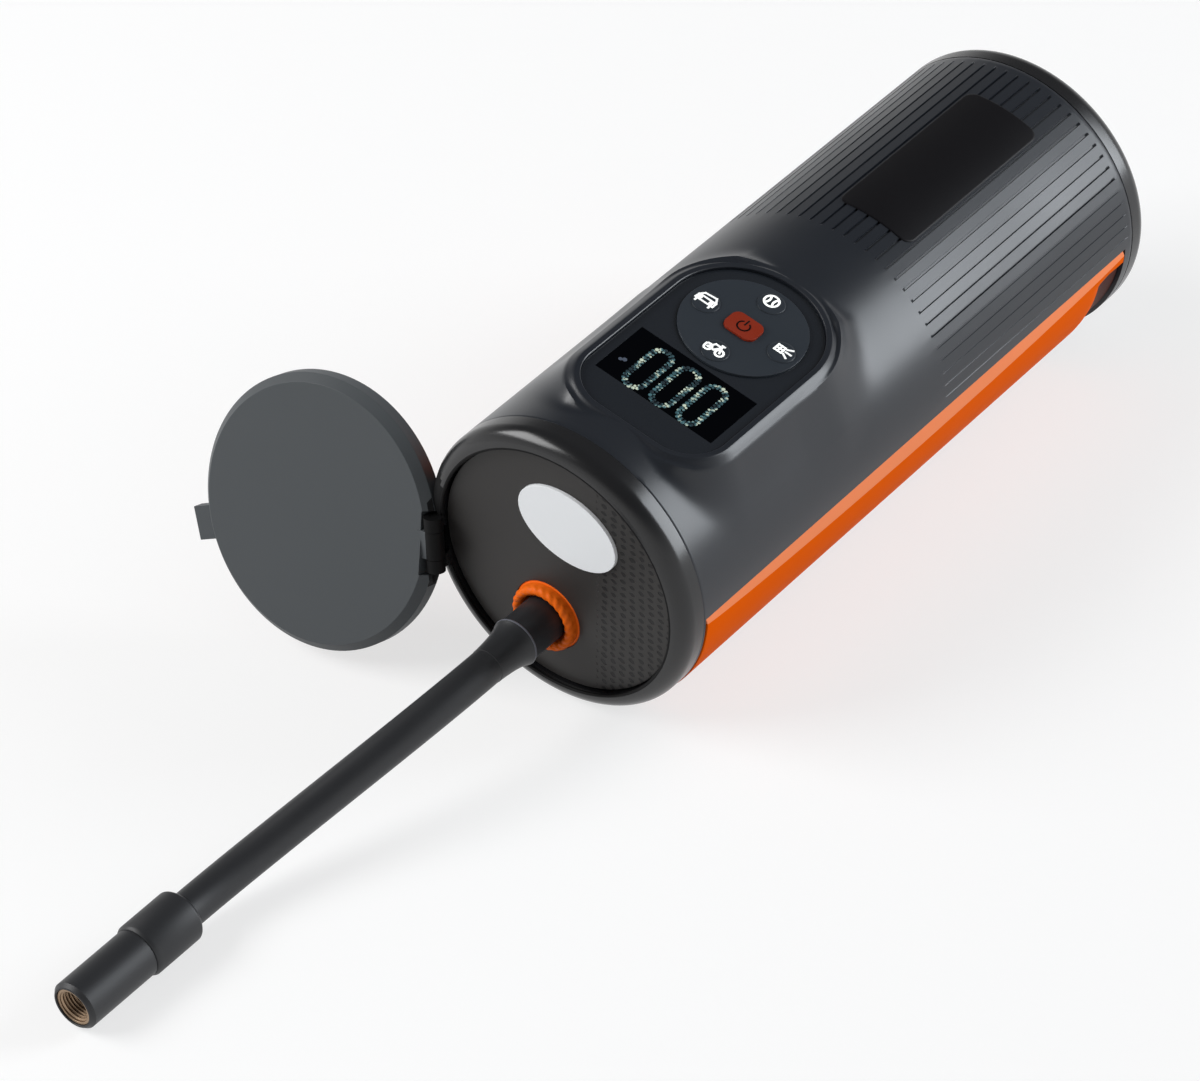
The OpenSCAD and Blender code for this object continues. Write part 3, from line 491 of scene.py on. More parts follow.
def pod_outline():
    """Points and outward normals round the pod's outline."""
    corner_x, corner_y = POD_HALF - POD_CORNER, POD_NEAR + POD_CORNER
    out = [((x, POD_NEAR), (0, -1)) for x in np.linspace(-corner_x, corner_x, 14)[:-1]]

    def arc(cx, cy, r, a0, a1, steps):
        for a in np.radians(np.linspace(a0, a1, steps + 1)[:-1]):
            out.append(((cx + r * math.cos(a), cy + r * math.sin(a)), (math.cos(a), math.sin(a))))

    arc(corner_x, corner_y, POD_CORNER, -90, 0, 22)
    out += [((POD_HALF, y), (1, 0)) for y in np.linspace(corner_y, POD_FAR, 28)[:-1]]
    arc(0, POD_FAR, POD_HALF, 0, 180, 72)
    out += [((-POD_HALF, y), (-1, 0)) for y in np.linspace(POD_FAR, corner_y, 28)[:-1]]
    arc(-corner_x, corner_y, POD_CORNER, 180, 270, 22)
    return out


def front_shell_mesh():
    """The shell from the front seam to the grip, with the pod grown out of it."""
    flat, solid, edges = [], [], []
    outline = pod_outline()
    for k, offset in enumerate(POD_OFFSETS):
        start = len(flat)
        px, py = [np.array([p[i] + n[i] * offset for p, n in outline]) for i in (0, 1)]
        pz = skin_height(px, py) - (0.12 if k == 0 else 0)
        flat += [Vector((BODY_R * math.atan2(x, z), y)) for x, y, z in zip(px, py, pz)]
        solid += [(float(x), float(y), float(z)) for x, y, z in zip(px, py, pz)]
        ring = range(start, len(flat))
        edges += list(zip(ring, [*ring[1:], start]))
    upper, lower = grip_columns()
    grid = sorted({*np.round(np.arange(-GRIP_EDGE, GRIP_EDGE + 0.1, 1.5), 3), *lower})
    for y in FRONT_ROWS:
        turns = np.array(sorted({*upper, *lower}) if y == GRIP_START else grid, dtype=float)
        signed = (turns + 180) % 360 - 180
        radii = skin_radius(signed, np.full_like(signed, y))
        px, pz = radii * np.sin(np.radians(signed)), radii * np.cos(np.radians(signed))
        near_pod = (pz > 0) & (outline_distance(px, y) < 8.8) & (np.abs(signed) < 75)
        pull = 1 - {SHELL_START: 0.35, 7.12: 0.1}.get(y, 0) / BODY_R
        for turn, x, z, hidden in zip(turns, px, pz, near_pod):
            if not hidden:
                flat.append(Vector((BODY_R * math.radians(turn), y)))
                solid.append((x * pull, float(y), z * pull))
    _, _, faces, origins, _, _ = delaunay_2d_cdt(flat, edges, [], 0, 1e-5)
    solid = [solid[o[0]] for o in origins]
    centres = np.array(solid)[np.array(faces)].mean(axis=1)
    over_seat = ((outline_distance(centres[:, 0], centres[:, 1]) < -SEAT_INSET - 0.01)
                 & (centres[:, 2] > 20))
    inside = [tuple(face) for face, hidden in zip(faces, over_seat) if not hidden]
    # the wall of the seat that the cover lies in
    count = len(outline)
    seat = {}
    for i in range(count):
        x, y, z = solid[i]
        seat[i] = len(solid)
        solid.append((x, y, SEAT_Z))
    for i in range(count):
        j = (i + 1) % count
        inside.append((i, j, seat[j], seat[i]))
    return solid, inside


def instanced(name, source, count, add_placement, inputs):
    """Runs a Geometry Nodes tree that repeats a source mesh, and returns the plain mesh.

    add_placement(tree, given, index) returns the sockets for position and rotation.
    """
    holder = add_object(name + "_source", source)
    tree = bpy.data.node_groups.new(name + "_nodes", "GeometryNodeTree")
    tree.interface.new_socket("Geometry", in_out="INPUT", socket_type="NodeSocketGeometry")
    sockets = {}
    for label, kind, _ in [("Count", "NodeSocketInt", count), *inputs]:
        sockets[label] = tree.interface.new_socket(label, in_out="INPUT", socket_type=kind)
    tree.interface.new_socket("Geometry", in_out="OUTPUT", socket_type="NodeSocketGeometry")
    nodes, links = tree.nodes, tree.links
    given, result = nodes.new("NodeGroupInput"), nodes.new("NodeGroupOutput")
    points = nodes.new("GeometryNodeMeshLine")
    points.inputs["Offset"].default_value = (0, 0, 0)
    links.new(given.outputs["Count"], points.inputs["Count"])
    index = nodes.new("GeometryNodeInputIndex")
    position, rotation = add_placement(tree, given, index.outputs[0])
    spread = nodes.new("GeometryNodeSetPosition")
    links.new(points.outputs[0], spread.inputs["Geometry"])
    if position:
        links.new(position, spread.inputs["Position"])
    turned = nodes.new("FunctionNodeEulerToRotation")
    if rotation:
        links.new(rotation, turned.inputs[0])
    copies = nodes.new("GeometryNodeInstanceOnPoints")
    links.new(spread.outputs[0], copies.inputs["Points"])
    links.new(given.outputs["Geometry"], copies.inputs["Instance"])
    links.new(turned.outputs[0], copies.inputs["Rotation"])
    real = nodes.new("GeometryNodeRealizeInstances")
    links.new(copies.outputs[0], real.inputs[0])
    finish = nodes.new("GeometryNodeSetMaterial")
    links.new(real.outputs[0], finish.inputs["Geometry"])
    links.new(finish.outputs[0], result.inputs[0])
    modifier = holder.modifiers.new(name, "NODES")
    modifier.node_group = tree
    modifier[sockets["Count"].identifier] = count
    for label, _, value in inputs:
        modifier[sockets[label].identifier] = value
    bpy.context.view_layer.update()
    evaluated = holder.evaluated_get(bpy.context.evaluated_depsgraph_get())
    mesh = bpy.data.meshes.new_from_object(evaluated)
    holder.modifiers.clear()
    bpy.data.objects.remove(holder)
    return mesh


def about_axis(tree, given, index):
    """Places copies round the Y axis, one Pitch apart, the row centred on the display side."""
    last = math_node(tree, "SUBTRACT", given.outputs["Count"], 1)
    from_middle = math_node(tree, "SUBTRACT", index, math_node(tree, "MULTIPLY", last, 0.5))
    turn = math_node(tree, "MULTIPLY", from_middle, given.outputs["Pitch"])
    angles = tree.nodes.new("ShaderNodeCombineXYZ")
    tree.links.new(turn, angles.inputs["Y"])
    return None, angles.outputs[0]


# ---- fluted grip ----

GRIP_ROWS = [GRIP_START, 100.4, 101.6, 139.0, 176.26, 176.34, 177.2, 178.2, 179.0, 179.28,
             SHELL_END]
FLUTE_DEPTH = 0.6
# degrees from the middle of a flute, and the share of its depth there
FLUTE_SHAPE = [(-2.5, 0), (-0.54, 0), (-0.36, 1), (0.36, 1), (0.54, 0), (2.5, 0)]
FACET_R = BODY_R * math.cos(math.radians(FLUTE_PITCH / 2 - 0.54))


def polar(turn, radius, y):
    return (radius * math.sin(math.radians(turn)), y, radius * math.cos(math.radians(turn)))


def edge_pull(y):
    """How far the skin rounds in at its rear seam."""
    return {179.28: 0.12, SHELL_END: 0.4}.get(y, 0.0)


def flute_strip():
    """One flute with half of the flat facet on each side of it."""
    points = []
    for y in GRIP_ROWS:
        cut = 1.0 if 101 < y < 177 else 0.0
        for turn, depth in FLUTE_SHAPE:
            radius = BODY_R - FLUTE_DEPTH * depth * cut
            if abs(turn) > 2.4 and y > 100:
                radius = FACET_R
            points.append(polar(turn, radius - edge_pull(y), y))
    return new_mesh("flute_strip", points, grid_faces(len(GRIP_ROWS), len(FLUTE_SHAPE)))


def grip_columns():
    """Angles of the skin's columns over the flutes, and of those below them, in degrees."""
    turns = {round((i - (FLUTES - 1) / 2) * FLUTE_PITCH + offset, 3)
             for i in range(FLUTES) for offset, _ in FLUTE_SHAPE}
    return sorted(turns), lower_columns()


def lower_columns():
    steps = [c for c in CHANNEL for c in (c - 0.04, c + 0.04)]
    steps += [360 - s for s in steps]
    even = np.round(np.arange(80, 281, 2.5), 3)
    return sorted({*even, *np.round(steps, 3), GRIP_EDGE, 360 - GRIP_EDGE})


def lower_grip():
    """The smooth skin below the flutes, with the rails' channels."""
    points, turns = [], lower_columns()
    for y in GRIP_ROWS:
        for turn in turns:
            signed = (turn + 180) % 360 - 180
            radius = float(skin_radius(np.array(signed), np.array(y)))
            if abs(turn - 180) > 180 - GRIP_EDGE - 0.1 and y > 100:
                radius = FACET_R
            points.append(polar(turn, radius - edge_pull(y), y))
    return points, grid_faces(len(GRIP_ROWS), len(turns))


def shallow_outer_flutes(mesh):
    """Makes the flutes past 50 degrees from the display shallower."""
    kept_depth = 0.22
    for vertex in mesh.vertices:
        x, _, z = vertex.co
        radius, turn = math.hypot(x, z), abs(math.degrees(math.atan2(x, z)))
        depth = FACET_R * MM - radius
        if turn > 50 and depth > 0.3 * MM:
            scale = (FACET_R * MM - kept_depth * depth) / radius
            vertex.co = (x * scale, vertex.co.y, z * scale)


set_camera()
flutes = instanced("grip_flutes", flute_strip(), FLUTES, about_axis,
                   [("Pitch", "NodeSocketFloat", math.radians(FLUTE_PITCH))])
shallow_outer_flutes(flutes)
shell_mesh = bmesh.new()
shell_mesh.from_mesh(flutes)
for points, faces in (lower_grip(), front_shell_mesh()):
    verts = [shell_mesh.verts.new(Vector(p) * MM) for p in points]
    for face in faces:
        shell_mesh.faces.new([verts[v] for v in face])
bmesh.ops.transform(shell_mesh, matrix=LAY, verts=shell_mesh.verts)
whole_shell = bpy.data.meshes.new("shell")
shell_mesh.to_mesh(whole_shell)
shell_mesh.free()
shell = place_mesh("shell", whole_shell, "tool", "body", ["main_shell"], sharp=24)
wall = shell.modifiers.new("wall", "SOLIDIFY")
wall.thickness, wall.offset = 1.2 * MM, -1

# ---- front end ----

for node, slot, edge in (
    ("front_bezel", "trim", 0), ("rear_cap", "trim", 0.15), ("face_plate", "face", 0.15),
    ("lamp_lens", "lens", 0.25), ("hose_stub", "rubber", 0.3),
    ("foot_strips", "rubber", 0.2),
    ("pod_cover", "cover", 0.08), ("key_plate", "keys", 0.06),
    ("chuck_collar", "rubber", 0.3), ("chuck_sleeve", "rubber", 0.25),
):
    dressed(node, "tool", slot, edge)
dressed("display_window", "tool", "cover", 0.03, material=PAINT["glass"])
dressed("chuck_insert", "tool", "brass", 0.1)

RAIL_START, RAIL_LENGTH, RAIL_INNER, RAIL_OUTER = 8.1, 167.8, 34.65, 36.2
FACET_DROP, POCKET_START, POCKET_DEPTH, RAIL_ROUND = 0.7, 163.0, 1.15, 0.15
RAIL_ROWS = [RAIL_START, 8.25, 9.0, *np.arange(12, 162, 3), POCKET_START, 164.5, 166.0, 168.0,
             170.5, 173.5, 175.4, 175.75, 175.9]


def rail_crease(y):
    """Angle of the crease below the rail's upper facet, which bows down along the rail."""
    along = min(max((y - RAIL_START) / RAIL_LENGTH, 0), 1)
    return 80.0 + 5.2 * math.sin(math.pi * along) ** 0.7


def side_rail(which, side):
    """Orange rail: a facet along its upper edge, coloured lighter as a painted highlight, and a
    sunk pocket at its rear end, coloured dark as painted shade.
    """
    rows, turns_at = RAIL_ROWS, {}
    for y in rows:
        crease = rail_crease(y)
        turns_at[y] = [78.1, 78.25, (78.25 + crease) / 2, crease - 0.05,
                       *np.linspace(crease + 0.05, 141.5, 40), 141.75, 141.9]
    points, faces, columns = [], [], len(turns_at[rows[0]])
    for y in rows:
        crease, turns = rail_crease(y), turns_at[y]
        for turn in turns:
            r = RAIL_OUTER
            end = min(y - rows[0], rows[-1] - y, RAIL_ROUND)
            edge = min(turn - turns[0], turns[-1] - turn, RAIL_ROUND)
            r -= RAIL_ROUND - end + RAIL_ROUND - edge
            r -= FACET_DROP * max(0, (crease - turn) / (crease - 78))
            sunk = min(max((y - POCKET_START) / 7.5, 0), 1) * min(max((turn - 83) / 3, 0), 1)
            r -= POCKET_DEPTH * sunk * sunk * (3 - 2 * sunk)
            points.append(polar(side * turn, max(r, RAIL_INNER + 0.2), y))
        points += [polar(side * turn, RAIL_INNER, y) for turn in turns]
    for k in range(len(rows) - 1):
        for c in range(columns - 1):
            for start in (0, columns):
                a = 2 * columns * k + start + c
                faces.append((a, a + 1, a + 1 + 2 * columns, a + 2 * columns))
        for c in (0, columns - 1):
            a = 2 * columns * k + c
            faces.append((a, a + columns, a + 3 * columns, a + 2 * columns))
    for k in (0, len(rows) - 1):
        for c in range(columns - 1):
            a = 2 * columns * k + c
            faces.append((a, a + 1, a + 1 + columns, a + columns))
    rail = build("rail_" + which, points, faces, "tool", "orange", ["side_rail_" + which], sharp=20)
    rail.data.materials.append(PAINT["rail_facet_painted_highlight"])
    rail.data.materials.append(PAINT["rail_pocket_painted_shade"])
    to_tool = LAY.inverted()
    for face in rail.data.polygons:
        spot = (to_tool @ face.center) / MM
        turn, reach = math.degrees(math.atan2(abs(spot.x), spot.z)), math.hypot(spot.x, spot.z)
        # faces of the upper facet take the lighter orange: painted highlight
        if turn < rail_crease(spot.y) and reach > RAIL_INNER + 0.35:
            face.material_index = 1
        # sunk faces at the rail's rear end take the dark red-brown: painted shade
        elif spot.y > 165 and turn > 84 and reach < 35.75:
            face.material_index = 2


side_rail("right", 1)
side_rail("left", -1)


BORE_MOUTH = Vector((-0.0232, -0.2243, 0.0064))  # in the row's frame, in metres
THREAD_PITCH = 0.8


def thread_turn():
    """One turn of the thread cut in the valve bore."""
    points, steps = [], 56
    for i in range(steps + 1):
        a = 2 * math.pi * i / steps
        y = -THREAD_PITCH * i / steps
        for r, dy in ((3.9, 0.38), (3.5, 0.07), (3.5, -0.07), (3.9, -0.38)):
            points.append((r * math.sin(a), y + dy, r * math.cos(a)))
    return new_mesh("thread_turn", points, grid_faces(steps + 1, 4))


def along_bore(tree, given, index):
    """Places copies one Pitch apart along the Y axis."""
    reach = tree.nodes.new("ShaderNodeCombineXYZ")
    distance = math_node(tree, "MULTIPLY", index, given.outputs["Pitch"])
    tree.links.new(distance, reach.inputs["Y"])
    return reach.outputs[0], None


thread = instanced("bore_thread", thread_turn(), 10, along_bore,
                   [("Pitch", "NodeSocketFloat", -THREAD_PITCH * MM)])
thread.transform(Matrix.Translation(BORE_MOUTH))
place_mesh("bore_thread", thread, "tool", "brass", sharp=30)

lid = dressed("lid", "lid_swing", "lid", 0.25)
hinge = next(j for j in frame["joints"] if j["name"] == "lid_hinge")
hinge_at, hinge_line = Vector(hinge["pos_m"]), Vector(hinge["axis"]).normalized()
widest = max(lid.data.polygons, key=lambda face: face.area)


def hinge_reach(point):
    """Distance of a point from the lid's hinge line, in metres."""
    reach = point - hinge_at
    return (reach - hinge_line * reach.dot(hinge_line)).length


BEZEL_LUG_R, LID_KNUCKLE_R = 3.4 * MM, 2.25 * MM
bezel = bpy.data.objects["dressed_front_bezel"]
bezel.data.materials.append(PAINT["seal_and_shade"])
# bezel faces round the hinge line take the black: painted shade where the lid meets the bezel
for face in bezel.data.polygons:
    if all(hinge_reach(bezel.data.vertices[v].co) < BEZEL_LUG_R for v in face.vertices):
        face.material_index = 1
for slot in ("seal_and_shade", "lid_bevel_painted_highlight"):
    lid.data.materials.append(PAINT[slot])
for face in lid.data.polygons:
    corners = [lid.data.vertices[v].co for v in face.vertices]
    # knuckle faces by the hinge take the black: painted shade
    if all(hinge_reach(corner) < LID_KNUCKLE_R for corner in corners):
        face.material_index = 1
    # bevel faces take the lighter grey: painted highlight
    elif 0.3 < face.normal.dot(widest.normal) < 0.95:
        face.material_index = 2


KEY_SPOTS = {"front": (0, 49.4), "rear": (0, 70.6), "left": (-10.6, 60), "right": (10.6, 60)}


def key_cap(which, cx, cy):
    """Round key, rounded at its edge and faintly dished."""
    profile = [(3.1, 35.0), (3.3, 35.1), (3.3, 35.72), (3.24, 35.86), (3.1, 35.93), (2.8, 35.94),
               (1.6, 35.9)]
    points, faces, sides, n = [], [], 72, len(profile)
    for i in range(sides):
        a = 2 * math.pi * i / sides
        points += [(cx + r * math.cos(a), cy + r * math.sin(a), z) for r, z in profile]
    for i in range(sides):
        j = (i + 1) % sides
        faces += [(i * n + k, j * n + k, j * n + k + 1, i * n + k + 1) for k in range(n - 1)]
    faces.append(tuple(i * n + n - 1 for i in range(sides)))
    faces.append(tuple(i * n for i in range(sides))[::-1])
    build(which + "_key_cap", points, faces, which + "_key", "keys", ["key_" + which], sharp=40)


for which, (cx, cy) in KEY_SPOTS.items():
    key_cap(which, cx, cy)
dressed("power_button", "power_key", "power", 0.3)


def outlet_ring():
    """Ring round the hose outlet: a plain collar with a twisted, rope-like moulded nose."""
    nose_r, nose_half, nose_y, nose_rise = 7.3, 1.1, 0.5, 1.3
    outline = [(6.2, 4.4, 0), (6.2, nose_y, 0)]
    outline += [(nose_r - nose_half * math.cos(b), nose_y - nose_rise * math.sin(b), 1)
                for b in np.linspace(0, math.pi, 19)[1:-1]]
    outline += [(8.4, nose_y, 0), (8.4, 1.9, 0), (8.8, 2.1, 0), (8.8, 4.4, 0)]
    points, around = [], 288
    for i in range(around):
        a = 2 * math.pi * i / around
        for k, (r, y, nose) in enumerate(outline):
            lift = nose * 0.08 * math.sin(24 * a + 0.4 * k)
            reach, y = r + (r - nose_r) / nose_half * lift, y + (y - nose_y) / nose_rise * lift
            points.append((reach * math.sin(a), y, -OUTLET_Z + reach * math.cos(a)))
    return points, ring_faces(around, around, len(outline))


build("twisted_outlet_ring", *outlet_ring(), "tool", "orange", ["outlet_ring"], sharp=60,
      material=PAINT["ring"])


def lid_seal_painted_shade():
    """Black bead ring on the bezel's inner edge, left out where the hinge stands; it stands in as
    painted shade for the bezel's inner wall in shadow.
    """
    points, sides, steps = [], 12, 200
    hinge_turn, half_gap, seal_r, bead_r = -112, 13, 31.85, 0.42
    for i in range(steps + 1):
        a = math.radians(hinge_turn + half_gap + (360 - 2 * half_gap) * i / steps)
        for k in range(sides):
            b = 2 * math.pi * k / sides
            reach, y = seal_r + bead_r * math.cos(b), 0.34 + bead_r * math.sin(b)
            points.append((reach * math.sin(a), y, reach * math.cos(a)))
    faces = ring_faces(steps, steps + 1, sides)
    faces.append(tuple(range(sides)))
    faces.append(tuple(range(steps * sides, (steps + 1) * sides))[::-1])
    return points, faces


# black bead ring: painted shade along the bezel's inner edge
build("lid_seal_painted_shade", *lid_seal_painted_shade(), "tool", "rubber", material=PAINT["seal_and_shade"], sharp=60)

FERRULE_Y = -9.5
# radius, and distance down the neck from its flared end
FERRULE_SHAPE = [(1.9, 0), (5.75, 0), (5.92, 0.1), (5.98, 0.35), (5.9, 0.62), (5.7, 1.0),
                 (5.45, 1.7), (5.15, 2.8), (4.88, 4.2), (4.65, 6.0), (4.48, 7.8), (4.36, 9.4),
                 (4.33, 10.4), (4.2, 10.5), (1.9, 10.5)]


def ferrule():
    """The hose's flared neck."""
    points, faces = lathe([(r, FERRULE_Y - y) for r, y in FERRULE_SHAPE], 128)
    return [(x, y, z - OUTLET_Z) for x, y, z in points], faces


neck = build("hose_neck", *ferrule(), "tool", "rubber", ["hose_ferrule"], sharp=50)
neck.data.materials.append(PAINT["neck_lip_painted_highlight"])
lip_end = (LAY @ Vector((0, (FERRULE_Y - 0.65) * MM, 0))).y
# faces of the flared lip take the light grey: painted highlight
for face in neck.data.polygons:
    reach = LAY.inverted() @ face.center / MM + Vector((0, 0, OUTLET_Z))
    if face.center.y > lip_end and math.hypot(reach.x, reach.z) > 5.6:
        face.material_index = 1

# ---- hose ----

HOSE_R = 4.25
# ends of the hose's centre line, in the row's frame, in millimetres
HOSE_START = (-5.130302, -113.0, 22.504611)
HOSE_END = (-23.2, -198.0, 6.4)


def hose_route(steps):
    """Centre line: straight out of the neck, down to the table, straight into the chuck."""
    start, end = np.array(HOSE_START), np.array(HOSE_END)
    out = []
    for t in np.arange(steps + 1) / steps:
        s = t * t * (3 - 2 * t)
        out.append(start + (end - start) * np.array((s, t, s)))
    return out


def tube(route, radius, sides=48, bore=1.8):
    """An open-bored hose along a route, closed at both ends."""
    points, faces, rings = [], [], []
    for k, p in enumerate(route):
        along = route[min(k + 1, len(route) - 1)] - route[max(k - 1, 0)]
        if k in (0, len(route) - 1):
            along = np.array((0, -1.0, 0))
        along = along / np.linalg.norm(along)
        side = np.cross(along, (0, 0, 1.0))
        side = side / np.linalg.norm(side)
        up = np.cross(side, along)
        ring = []
        for r in (radius, bore):
            for i in range(sides):
                a = 2 * math.pi * i / sides
                ring.append(len(points))
                points.append(p + r * (math.cos(a) * side + math.sin(a) * up))
        rings.append(ring)
    for low, high in zip(rings, rings[1:]):
        for i in range(sides):
            j = (i + 1) % sides
            faces.append((low[i], low[j], high[j], high[i]))
            faces.append((low[sides + j], low[sides + i], high[sides + i], high[sides + j]))
    for ring in (rings[0], rings[-1]):
        for i in range(sides):
            j = (i + 1) % sides
            faces.append((ring[i], ring[j], ring[sides + j], ring[sides + i]))
    return [tuple(p) for p in points], faces


hose_line = hose_route(72)
hose = build("hose", *tube(hose_line, HOSE_R), "tool", "rubber", ["air_hose"],
             place=Matrix.Identity(4), sharp=60)

# ---- display, keys and plate ----


def stadium(cx, cy, width, height, count):
    """Evenly spaced points round an upright figure 0."""
    r = width / 2
    straight, total = height - width, 2 * (height - width) + math.pi * width
    out = []
    for i in range(count):
        s = total * i / count
        if s < straight:
            out.append((cx + r, cy - straight / 2 + s))
        elif s < straight + math.pi * r:
            a = (s - straight) / r
            out.append((cx + r * math.cos(a), cy + straight / 2 + r * math.sin(a)))
        elif s < 2 * straight + math.pi * r:
            out.append((cx - r, cy + straight / 2 - (s - straight - math.pi * r)))
        else:
            a = math.pi + (s - 2 * straight - math.pi * r) / r
            out.append((cx + r * math.cos(a), cy - straight / 2 + r * math.sin(a)))
    return out


def dots(spots, height, z):
    """Low round beads of the display, as one set of points and faces."""
    points, faces, sides = [], [], 10
    for x, y, size in spots:
        start = len(points)
        for radius, lift in ((size, 0), (size * 0.72, height)):
            for i in range(sides):
                a = 2 * math.pi * i / sides
                points.append((x + radius * math.cos(a), y + radius * math.sin(a), z + lift))
        for i in range(sides):
            j = (i + 1) % sides
            faces.append((start + i, start + j, start + sides + j, start + sides + i))
        faces.append(tuple(range(start + sides, start + 2 * sides)))
        faces.append(tuple(range(start, start + sides))[::-1])
    return points, faces


WINDOW_TOP, KEY_TOP = 35.2, 35.92
DIGIT_XS, DIGIT_Y = (-7.2, 0.3, 7.8), 34.3
# width, height, beads and bead size of a digit's outer and inner row
DIGIT_ROWS = ((5.4, 14.8, 35, 0.47), (3.9, 13.3, 33, 0.33))
digits = [(x, y, bead) for width, height, count, bead in DIGIT_ROWS for cx in DIGIT_XS
          for x, y in stadium(cx, DIGIT_Y, width, height, count)]
build("display_digits", *dots(digits, 0.03, WINDOW_TOP), "tool", "white",
      material=PAINT["segments"], sharp=20)
unit_mark = [(-13.4, 32.2, 0.5), (-12.6, 32.7, 0.6)]
build("display_unit_mark", *dots(unit_mark, 0.03, WINDOW_TOP), "tool", "white",
      material=PAINT["dim"])


def ribbon(lines, width, z, lift=0.04):
    """Flat strokes of an icon along lines of (x, y) points."""
    points, faces = [], []
    for line in lines:
        for (x0, y0), (x1, y1) in zip(line, line[1:]):
            dx, dy = x1 - x0, y1 - y0
            length = math.hypot(dx, dy)
            ux, uy = dx / length * width / 2, dy / length * width / 2
            start = len(points)
            corners = [(x0 - ux + uy, y0 - uy - ux), (x1 + ux + uy, y1 + uy - ux),
                       (x1 + ux - uy, y1 + uy + ux), (x0 - ux - uy, y0 - uy + ux)]
            points += [(x, y, z) for x, y in corners] + [(x, y, z + lift) for x, y in corners]
            faces.append(tuple(start + k for k in (4, 5, 6, 7)))
            faces.append(tuple(start + k for k in (3, 2, 1, 0)))
            for k in range(4):
                m = (k + 1) % 4
                faces.append((start + k, start + m, start + 4 + m, start + 4 + k))
    return points, faces


def arc_line(cx, cy, r, a0, a1, steps=14):
    return [(cx + r * math.cos(math.radians(a)), cy + r * math.sin(math.radians(a)))
            for a in np.linspace(a0, a1, steps)]


ICONS = {
    # a car seen from the front
    "left_key": [[(-2.1, -0.9), (-2.1, 0.3), (-1.4, 1.5), (1.4, 1.5), (2.1, 0.3), (2.1, -0.9),
                  (-2.1, -0.9)], [(-1.7, 0.3), (1.7, 0.3)], [(-1.6, -0.9), (-1.6, -1.6)],
                 [(1.6, -0.9), (1.6, -1.6)], arc_line(-1.3, -0.3, 0.22, 0, 360),
                 arc_line(1.3, -0.3, 0.22, 0, 360)],
    # a bicycle
    "front_key": [arc_line(-1.4, -0.6, 0.85, 0, 360), arc_line(1.4, -0.6, 0.85, 0, 360),
                  [(-1.4, -0.6), (-0.5, 0.9), (0.9, 0.9), (0, -0.6), (-1.4, -0.6)],
                  [(0.9, 0.9), (1.4, -0.6)], [(0.7, 1.4), (1.2, 1.4)]],
    # a ball
    "rear_key": [arc_line(0, 0, 1.5, 0, 360, 22), arc_line(-2.2, 0, 1.7, -38, 38),
                 arc_line(2.2, 0, 1.7, 142, 218)],
    # a lamp and its rays
    "right_key": [[(-1.3, -0.8), (-1.3, 0.8), (0.3, 0.8), (0.3, -0.8), (-1.3, -0.8)],
                  [(-0.5, -0.8), (-0.5, 0.8)], [(-1.3, 0), (0.3, 0)], [(0.9, 0), (2.1, 0)],
                  [(0.8, 0.7), (1.8, 1.3)], [(0.8, -0.7), (1.8, -1.3)]],
}


def on_key_top(point, centre, reach=2.75):
    """The point, drawn in where it would lie past the key's rim."""
    dx, dy = point[0] - centre[0], point[1] - centre[1]
    pull = min(1, reach / max(math.hypot(dx, dy), 1e-6))
    return centre[0] + dx * pull, centre[1] + dy * pull


for which, spot in (("left", (-11.0, 60.7)), ("front", (-0.4, 49.9)), ("rear", (-0.4, 71.2)),
                    ("right", (10.3, 60.6))):
    body, centre = which + "_key", KEY_SPOTS[which]
    lines = [[on_key_top((1.15 * x + spot[0], 1.2 * y + spot[1]), centre) for x, y in line]
             for line in ICONS[body]]
    build("icon_" + body, *ribbon(lines, 0.5, KEY_TOP), body, "white", material=PAINT["icon"])
power_mark = [arc_line(0, 59.9, 1.5, 125, 415, 24), [(0, 60.4), (0, 62.0)]]
build("power_mark", *ribbon(power_mark, 0.36, 36.2), "power_key", "keys", material=PAINT["badge"])


